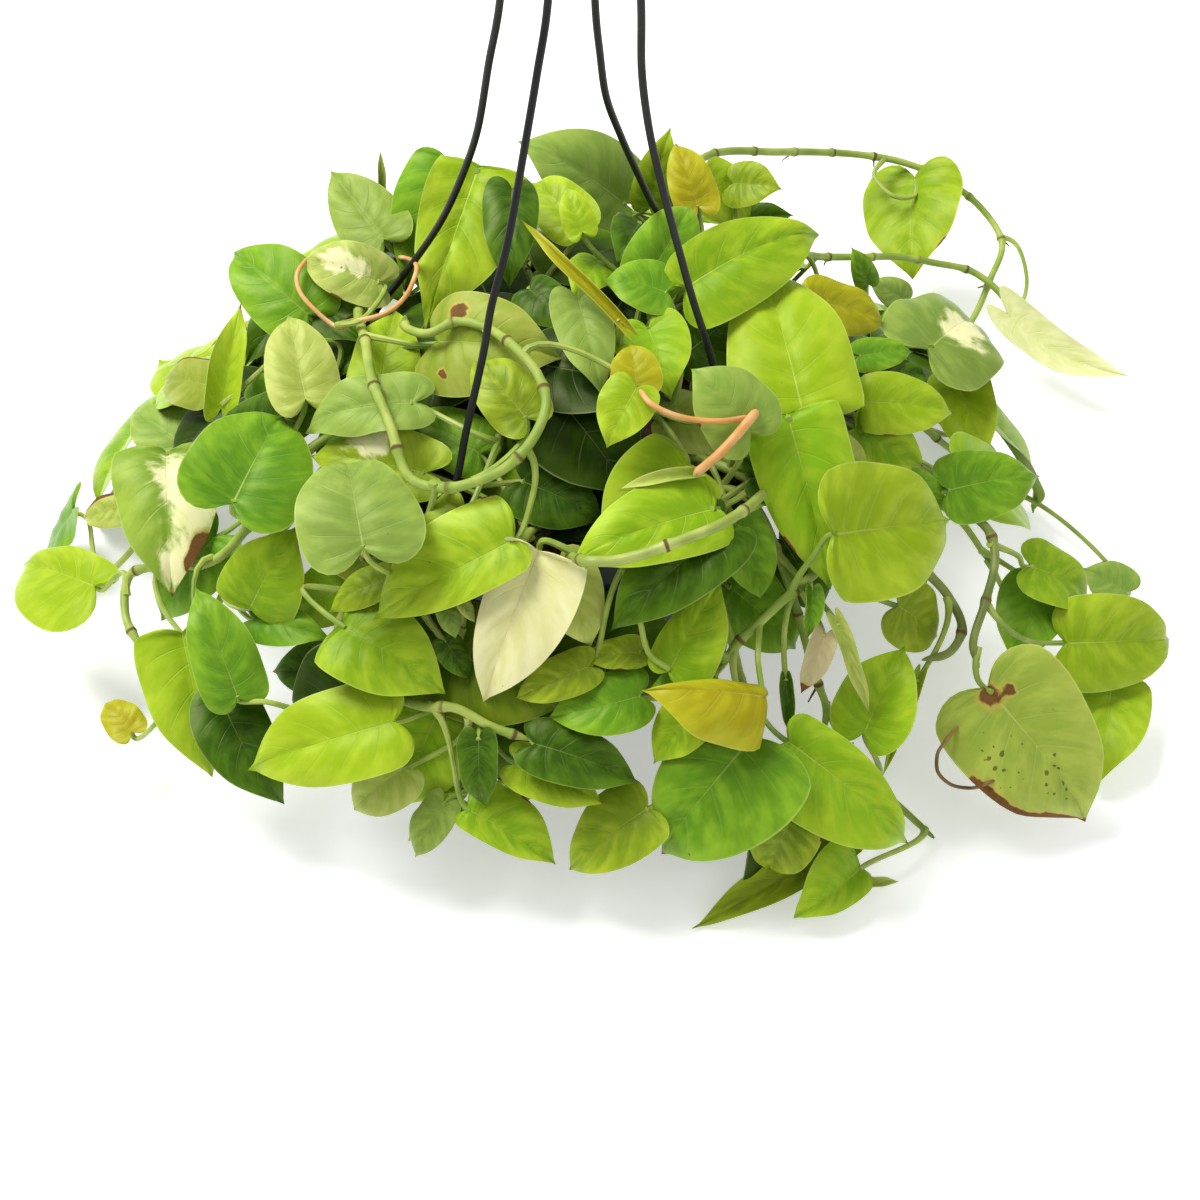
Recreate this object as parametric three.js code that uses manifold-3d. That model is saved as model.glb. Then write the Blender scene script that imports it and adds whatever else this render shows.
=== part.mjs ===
// A heartleaf philodendron with lime leaves, in its hanging pot, standing with its hanger held up.
// Millimetres, +Z up. The origin is the centre of the pot's underside, and the near side is -Y.
import * as THREE from "three";
import { mergeVertices } from "three/addons/utils/BufferGeometryUtils.js";
import Module from "manifold-3d";

const wasm = await Module();
wasm.setup();

// Driving dimensions of the pot and its soil
const RIM_RADIUS = 101.5;
const FOOT_RADIUS = 73;
const POT_HEIGHT = 128;
const POT_WALL = 2;
const POT_SIDES = 24;
const RIM_DROP = 11;
const RIM_STEP = 5.2;
const RIM_SKIN = 1.7;
const SOIL_BELOW_RIM = 14;
const SOIL_CROWN = 4;
const CLEARANCE = 0.3;

// Driving dimensions of the hanger
const STRAND_RADIUS = 1.75;
const STRAND_SIDES = 5;
const STRAND_STEPS = 12;
const CLIP_WIDTH = 8;
const CLIP_WALL = 3;
const CLIP_DROP = 15;
const HUB = { x: 9, y: 4, low: 448, radius: 9.5, height: 15 };
const HOOK = { wire: 2.6, bend: 17, shank: 16, from: -90, to: 205 };

// Driving dimensions of the plant
const STEM_RADIUS = 1.9;
const BOLD_STEM_RADIUS = 2.3;
const PETIOLE_RADIUS = 0.95;
const BLADE = 1.2;
const STEM_DEPTH_IN_SOIL = 22;
const MOUND = { top: 180, side: 255, near: 190, far: 270, floor: 6, beyond: 150 };
const GROUND_GAP = 1.3;
const GUARD = 0.2;
const LOWEST = 0.6;
const STEM_SIDES = 4;
const BOLD_SPAN = 18;
const THIN_SPAN = 27;
const HOLE_EASE = 1.8;
const JOINED = 0.25;
const NODE_SHARES = [0.3, 0.5, 0.7];

// The picture frame in which the leaves and stems on the near side are placed, 1200 by 1200 points
const VIEW = { focal: 1680, distance: 730, lookDown: 40.5, pitch: 47.3, yaw: 1.87, middle: 600 };

const rad = THREE.MathUtils.degToRad;
const vec = (x, y, z) => new THREE.Vector3(x, y, z);
const UP = vec(0, 0, 1);

function camera() {
  const pitch = rad(VIEW.pitch);
  const yaw = rad(VIEW.yaw);
  const look = rad(VIEW.lookDown);
  const forward = vec(Math.sin(yaw) * Math.cos(pitch), Math.cos(yaw) * Math.cos(pitch), -Math.sin(pitch));
  const right = vec(Math.cos(yaw), -Math.sin(yaw), 0);
  const above = right.clone().cross(forward);
  const eye = vec(0, -Math.cos(look), Math.sin(look)).multiplyScalar(VIEW.distance);
  eye.z += POT_HEIGHT;
  return { eye, forward, right, above };
}
const CAMERA = camera();

function sightline([px, py]) {
  return CAMERA.forward
    .clone()
    .multiplyScalar(VIEW.focal)
    .addScaledVector(CAMERA.right, px - VIEW.middle)
    .addScaledVector(CAMERA.above, VIEW.middle - py)
    .normalize();
}

// The foliage follows a low mound, wider than the pot, that comes down to the ground all round
function moundHeight(x, y) {
  const reach = y < 0 ? MOUND.near : MOUND.far;
  const q = (x / MOUND.side) ** 2 + (y / reach) ** 2;
  return Math.max(MOUND.floor, MOUND.top * (1 - q));
}

// The point of the mound, raised by lift, that a picture point shows. Past the mound's crest it is the
// point of the sightline that comes nearest to the mound.
function onMound(spot, lift) {
  const ray = sightline(spot);
  const along = (t) => CAMERA.eye.clone().addScaledVector(ray, t);
  const above = (t) => {
    const p = along(t);
    return p.z - moundHeight(p.x, p.y) - lift;
  };
  let near = 250;
  while (above(near + 6) > 0) near += 6;
  let far = near + 6;
  for (let i = 0; i < 24; i++) {
    const mid = (near + far) / 2;
    if (above(mid) > 0) near = mid;
    else far = mid;
  }
  const found = along(near);
  if (found.y < MOUND.beyond || found.z > MOUND.floor + lift + 1) return found;
  const bulge = MOUND.top * ((ray.x / MOUND.side) ** 2 + (ray.y / MOUND.far) ** 2);
  const pull = (MOUND.top * CAMERA.eye.y * ray.y) / MOUND.far ** 2;
  return along(-(ray.z + 2 * pull) / (2 * bulge));
}

// The point at a given height that a picture point shows
function atHeight(spot, z) {
  const ray = sightline(spot);
  return CAMERA.eye.clone().addScaledVector(ray, (z - CAMERA.eye.z) / ray.z);
}

// The point of the upright plane through the pot's axis that a picture point shows
function inPlane(spot, azimuth) {
  const ray = sightline(spot);
  const across = vec(-Math.sin(rad(azimuth)), Math.cos(rad(azimuth)), 0);
  return CAMERA.eye.clone().addScaledVector(ray, -CAMERA.eye.dot(across) / ray.dot(across));
}

// Draws from a seed
function seeded(seed) {
  let state = seed >>> 0;
  return () => {
    state = (Math.imul(state, 1664525) + 1013904223) >>> 0;
    return state / 4294967296;
  };
}

// Solids

function solidOf(geometry) {
  const bare = new THREE.BufferGeometry().setAttribute("position", geometry.getAttribute("position"));
  if (geometry.index) bare.setIndex(geometry.index);
  const merged = mergeVertices(bare, 1e-4);
  return new wasm.Manifold(
    new wasm.Mesh({
      numProp: 3,
      vertProperties: merged.attributes.position.array,
      triVerts: new Uint32Array(merged.index.array),
    }),
  );
}

// One body of many, with any hollow that joining seals filled
function fused(pieces) {
  const bodies = wasm.Manifold.union(pieces).decompose();
  return bodies.reduce((most, body) => (body.volume() > most.volume() ? body : most));
}

function geometryOf(solid) {
  const mesh = solid.getMesh();
  const points = new Float32Array(mesh.numVert * 3);
  for (let i = 0; i < mesh.numVert; i++) {
    points.set(mesh.vertProperties.subarray(i * mesh.numProp, i * mesh.numProp + 3), i * 3);
  }
  return new THREE.BufferGeometry()
    .setAttribute("position", new THREE.BufferAttribute(points, 3))
    .setIndex(new THREE.BufferAttribute(new Uint32Array(mesh.triVerts), 1));
}

function ringShape(radius, sides) {
  const points = [];
  for (let i = 0; i < sides; i++) {
    const turn = (2 * Math.PI * i) / sides;
    points.push(new THREE.Vector2(radius * Math.cos(turn), radius * Math.sin(turn)));
  }
  return new THREE.Shape(points);
}

function tube(curve, radius, sides, steps) {
  const settings = { steps, extrudePath: curve, bevelEnabled: false };
  return solidOf(new THREE.ExtrudeGeometry(ringShape(radius, sides), settings));
}

const smooth = (points) => new THREE.CatmullRomCurve3(points, false, "centripetal");

function lathe(profile, segments) {
  const points = profile.map(([r, z]) => new THREE.Vector2(r, z));
  return solidOf(new THREE.LatheGeometry(points, segments).rotateX(Math.PI / 2));
}

// Pot and soil

const bodyRadius = (z) => {
  const top = RIM_RADIUS - RIM_STEP;
  return FOOT_RADIUS + ((top - FOOT_RADIUS) * z) / (POT_HEIGHT - RIM_DROP);
};

const POT_FLOOR = POT_WALL + 1;

const innerRadius = (z) => {
  const low = bodyRadius(POT_WALL) - POT_WALL;
  const high = RIM_RADIUS - RIM_STEP - POT_WALL;
  return low + ((high - low) * (z - POT_FLOOR)) / (POT_HEIGHT - POT_FLOOR);
};

function potSolid() {
  const top = RIM_RADIUS - RIM_STEP;
  const rimBase = POT_HEIGHT - RIM_DROP;
  return lathe(
    [
      [0, 0],
      [FOOT_RADIUS - 2, 0],
      [FOOT_RADIUS, 2],
      [top, rimBase],
      [top, POT_HEIGHT - RIM_SKIN * 2],
      [RIM_RADIUS - RIM_SKIN, POT_HEIGHT - RIM_SKIN * 2],
      [RIM_RADIUS - RIM_SKIN, rimBase],
      [RIM_RADIUS, rimBase],
      [RIM_RADIUS, POT_HEIGHT - 1],
      [RIM_RADIUS - 1, POT_HEIGHT],
      [innerRadius(POT_HEIGHT), POT_HEIGHT],
      [innerRadius(POT_FLOOR), POT_FLOOR],
      [0, POT_FLOOR],
    ],
    POT_SIDES,
  );
}

const soilTop = POT_HEIGHT - SOIL_BELOW_RIM;

function soilSolid(holes) {
  const low = POT_FLOOR + CLEARANCE;
  const edgeTop = soilTop - 3;
  const plug = lathe(
    [
      [0, low],
      [innerRadius(low) - 2 * CLEARANCE, low],
      [innerRadius(edgeTop) - 2 * CLEARANCE, edgeTop],
      [72, soilTop + SOIL_CROWN * 0.5],
      [34, soilTop + SOIL_CROWN],
      [0, soilTop + SOIL_CROWN],
    ],
    POT_SIDES,
  );
  return plug.subtract(wasm.Manifold.union(holes));
}

// A plain hole in the soil that a stem stands in
function stemHole(x, y, radius) {
  const depth = STEM_DEPTH_IN_SOIL + CLEARANCE * 2;
  const round = new THREE.CylinderGeometry(radius, radius, depth + 20, 5).rotateX(Math.PI / 2);
  return solidOf(round.translate(x, y, soilTop - depth + (depth + 20) / 2));
}

// Hanger

const STRANDS = [
  {
    name: "strand_left",
    azimuth: 152,
    seen: [[500, 0], [489, 62], [477, 132], [462, 176], [440, 223], [400, 280], [380, 305]],
  },
  {
    name: "strand_near",
    azimuth: 240,
    seen: [[548, 0], [537, 74], [525, 145], [507, 245], [491, 308], [484, 350], [466, 432], [456, 483]],
  },
  {
    name: "strand_far",
    azimuth: 50,
    seen: [[595, 0], [600, 54], [606, 96], [620, 134], [637, 172], [652, 203], [666, 225]],
  },
  {
    name: "strand_right",
    azimuth: 332,
    seen: [[641, 0], [642, 74], [650, 134], [663, 190], [679, 250], [692, 297], [706, 340], [722, 388]],
  },
];

// A clip that straddles the rim, with the rim's own clearance inside it
function clipSolid(azimuth) {
  const chord = Math.cos(Math.PI / POT_SIDES);
  const inner = (RIM_RADIUS - RIM_STEP - POT_WALL - 1) * chord - CLEARANCE - 0.1;
  const outer = RIM_RADIUS + CLEARANCE;
  const under = POT_HEIGHT + CLEARANCE;
  const over = under + CLIP_WALL;
  const outline = new THREE.Shape([
    new THREE.Vector2(inner - CLIP_WALL, POT_HEIGHT - 5),
    new THREE.Vector2(inner, POT_HEIGHT - 5),
    new THREE.Vector2(inner, under),
    new THREE.Vector2(outer, under),
    new THREE.Vector2(outer, POT_HEIGHT - CLIP_DROP),
    new THREE.Vector2(outer + CLIP_WALL, POT_HEIGHT - CLIP_DROP),
    new THREE.Vector2(outer + CLIP_WALL, over),
    new THREE.Vector2(inner - CLIP_WALL, over),
  ]);
  const bar = new THREE.ExtrudeGeometry(outline, { depth: CLIP_WIDTH, bevelEnabled: false });
  bar.translate(0, 0, -CLIP_WIDTH / 2).rotateX(Math.PI / 2).rotateZ(rad(azimuth));
  return solidOf(bar);
}

function strandCurve({ azimuth, seen }) {
  const turn = rad(azimuth);
  const onRim = RIM_RADIUS - RIM_STEP / 2 - 1;
  const foot = vec(onRim * Math.cos(turn), onRim * Math.sin(turn), POT_HEIGHT + 2);
  const low = seen.map((spot) => inPlane(spot, azimuth)).reverse();
  const end = vec(HUB.x, HUB.y, HUB.low - CLEARANCE);
  end.add(vec(Math.cos(turn), Math.sin(turn), 0).multiplyScalar(HUB.radius - STRAND_RADIUS - 2));
  const last = low[low.length - 1];
  const rise = last.clone().lerp(end, 0.55).add(vec(Math.cos(turn), Math.sin(turn), 0).multiplyScalar(5));
  const straight = end.clone().addScaledVector(UP, -8);
  return smooth([foot, ...low.filter((p) => p.z > POT_HEIGHT + 14), rise, straight, end]);
}

function hookSolid() {
  const { x, y, low, radius, height } = HUB;
  const collar = lathe(
    [
      [0, low],
      [radius, low],
      [radius, low + height * 0.6],
      [HOOK.wire + 1.5, low + height],
      [0, low + height],
    ],
    12,
  ).translate(x, y, 0);
  const eyeHeight = low + height + HOOK.shank + HOOK.bend;
  const path = [vec(x, y, low + height - 4), vec(x, y, low + height + HOOK.shank * 0.5)];
  const bends = 9;
  for (let i = 0; i <= bends; i++) {
    const turn = rad(HOOK.from + ((HOOK.to - HOOK.from) * i) / bends);
    path.push(vec(x + HOOK.bend * Math.cos(turn), y, eyeHeight + HOOK.bend * Math.sin(turn)));
  }
  return collar.add(tube(smooth(path), HOOK.wire, 6, 20));
}

// Leaf blades

// Half of a leaf's outline, from the notch round the lobe to the tip: width as a share of the full
// width, length as a share of the length from notch to tip
const HALF_OUTLINE = [
  [0.27, -0.145],
  [0.49, 0.14],
  [0.33, 0.62],
];
const MIDRIB = [0.3, 0.66];

// The length of a blade as a share of its width, at most and at least
const SLENDER = 1.5;
const STOUT = 1.05;
const NARROWEST = 0.55;

// How a blade is bent. lobes is how far its lobes reach back past the notch, as a share of the usual
// reach, and lean how much wider the blade is on the one side of its midrib than on the other.
const FLAT = { arch: 0.35, fold: 0.22, cup: 0.16, twist: 0, sway: 0, roll: 0, lobes: 1, lean: 0 };

// The middle surface of a blade, at x across and y along from the notch
function bladeSpot(leaf, x, y) {
  const v = y / leaf.length;
  const half = leaf.width / 2;
  let across = x;
  let rise = leaf.fold * (Math.sqrt(x * x + 4) - 2) - (leaf.cup * x * x) / half;
  if (leaf.roll) {
    const turn = (leaf.roll * x) / half;
    across = (half * Math.sin(turn)) / leaf.roll;
    rise = (half * (1 - Math.cos(turn))) / Math.abs(leaf.roll);
  }
  rise += leaf.arch * leaf.length * v * (1 - v) + leaf.twist * x * v;
  across += leaf.sway * leaf.length * v * (1 - v);
  const p = leaf.base
    .clone()
    .addScaledVector(leaf.side, across)
    .addScaledVector(leaf.axis, y)
    .addScaledVector(leaf.normal, rise);
  const over = p.z - GROUND_GAP;
  p.z = GROUND_GAP + (over + Math.sqrt(over * over + 4)) / 2;
  return p;
}

function bladeNormal(leaf, x, y) {
  const step = 0.5;
  const a = bladeSpot(leaf, x + step, y).sub(bladeSpot(leaf, x - step, y));
  const b = bladeSpot(leaf, x, y + step).sub(bladeSpot(leaf, x, y - step));
  return a.cross(b).normalize();
}

// Points round the blade, notch first, then one side to the tip and back up the other side
function bladePlan(leaf) {
  const half = (side) =>
    HALF_OUTLINE.map(([x, y]) => [
      side * x * leaf.width * (1 + side * leaf.lean),
      (y < 0 ? y * leaf.lobes : y) * leaf.length,
    ]);
  const right = half(1);
  const left = half(-1).reverse();
  const rib = MIDRIB.map((y) => [0, y * leaf.length]);
  return [[0, 0], ...right, [0, leaf.length], ...left, ...rib];
}

// The same split of triangles on both faces, so that a waved blade stays whole
const BLADE_FACES = [
  [0, 1, 8],
  [1, 2, 8],
  [2, 9, 8],
  [2, 3, 9],
  [3, 4, 9],
  [4, 5, 9],
  [5, 6, 9],
  [6, 8, 9],
  [6, 7, 8],
  [7, 0, 8],
];
const BLADE_RIM = 8;

function bladeSolid(leaf, thickness) {
  const plan = bladePlan(leaf);
  const spots = plan.map(([x, y]) => ({ at: bladeSpot(leaf, x, y), normal: bladeNormal(leaf, x, y) }));
  const offset = ({ at, normal }, by) => at.clone().addScaledVector(normal, by);
  const face = (sign) => spots.map((spot) => offset(spot, (sign * thickness) / 2));
  const points = [...face(1), ...face(-1)];
  const count = plan.length;
  const index = [];
  for (const [a, b, c] of BLADE_FACES) {
    index.push(a, b, c);
    index.push(count + a, count + c, count + b);
  }
  for (let i = 0; i < BLADE_RIM; i++) {
    const j = (i + 1) % BLADE_RIM;
    index.push(i, count + i, count + j);
    index.push(i, count + j, j);
  }
  const geometry = new THREE.BufferGeometry().setFromPoints(points).setIndex(index);
  return solidOf(geometry);
}

// A leaf's length follows from its width. The end that lies further off is brought nearer along its
// sightline where the leaf would be too long, and the near end where it would be too short.
function fitLength(base, end, across) {
  const [near, far] = base.distanceTo(CAMERA.eye) < end.distanceTo(CAMERA.eye) ? [base, end] : [end, base];
  const width = (across * near.distanceTo(CAMERA.eye)) / VIEW.focal;
  const slide = (moving, fixed, least, most, away) => {
    const ray = moving.clone().sub(CAMERA.eye).normalize();
    const middle = fixed.clone().sub(CAMERA.eye).dot(ray);
    const apart = fixed.distanceTo(CAMERA.eye.clone().addScaledVector(ray, middle));
    const length = THREE.MathUtils.clamp(moving.distanceTo(fixed), least(apart), most(apart));
    const shift = away * Math.sqrt(Math.max(0, length ** 2 - apart ** 2));
    return CAMERA.eye.clone().addScaledVector(ray, middle + shift);
  };
  const longest = (apart) => Math.max(SLENDER * width, 1.12 * apart);
  if (near.distanceTo(far) > longest(near.distanceTo(far) * 0.6)) {
    far.copy(slide(far, near, () => 0, longest, 1));
  }
  if (near.distanceTo(far) < STOUT * width) {
    near.copy(slide(near, far, () => STOUT * width, () => Infinity, -1));
  }
}

// A leaf seen in the picture frame: its notch, its tip and its width there, how far it lies above the
// mound at the notch and at the tip, and what sets it apart
function seen(kind, notch, tip, across, lift, extra = {}) {
  const [liftNotch, liftTip] = lift;
  const high = extra.high;
  const base = high ? atHeight(notch, liftNotch) : onMound(notch, liftNotch);
  const end = high ? atHeight(tip, liftTip) : onMound(tip, liftTip);
  fitLength(base, end, across);
  const middle = base.clone().lerp(end, 0.4);
  const axis = end.clone().sub(base);
  const length = axis.length();
  axis.normalize();
  const toEye = CAMERA.eye.clone().sub(middle);
  const scale = VIEW.focal / toEye.length();
  toEye.normalize();
  const facing = toEye.clone().multiplyScalar(0.65).addScaledVector(UP, 0.35);
  const normal = facing.addScaledVector(axis, -facing.dot(axis)).normalize();
  const side = axis.clone().cross(normal);
  const shown = side.clone().addScaledVector(toEye, -side.dot(toEye)).length();
  const least = extra.roll ? 5 : NARROWEST * length;
  const width = THREE.MathUtils.clamp(across / (scale * shown), least, length / STOUT);
  return { ...FLAT, ...extra, kind, base, axis, side, normal, length, width };
}

// A leaf set on the mound by its place round the pot
function placed(kind, azimuth, reach, lift, turn, length, draw) {
  const c = Math.cos(rad(azimuth));
  const s = Math.sin(rad(azimuth));
  const x = c * reach;
  const y = s * reach;
  const step = 4;
  const rise = moundHeight(x + c * step, y + s * step) - moundHeight(x - c * step, y - s * step);
  const slope = rise / (2 * step);
  const outward = vec(c, s, slope).normalize();
  const sideways = vec(-s, c, 0);
  const normal = outward.clone().cross(sideways);
  if (normal.z < 0) normal.negate();
  const axis = outward
    .clone()
    .multiplyScalar(Math.cos(rad(turn)))
    .addScaledVector(sideways, Math.sin(rad(turn)))
    .addScaledVector(normal, -0.2 + 0.35 * draw())
    .normalize();
  normal.addScaledVector(sideways, 0.5 * (draw() - 0.5));
  normal.addScaledVector(axis, -normal.dot(axis)).normalize();
  const side = axis.clone().cross(normal);
  const base = vec(x, y, moundHeight(x, y) + lift);
  base.addScaledVector(axis, -0.4 * length);
  base.z = Math.max(base.z, MOUND.floor);
  const shape = { arch: 0.25 + 0.35 * draw(), fold: 0.15 + 0.2 * draw(), cup: 0.1 + 0.15 * draw() };
  shape.sway = 0.3 * (draw() - 0.5);
  const width = length * (0.76 + 0.16 * draw());
  return { ...FLAT, ...shape, kind, base, axis, side, normal, length, width };
}

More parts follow.
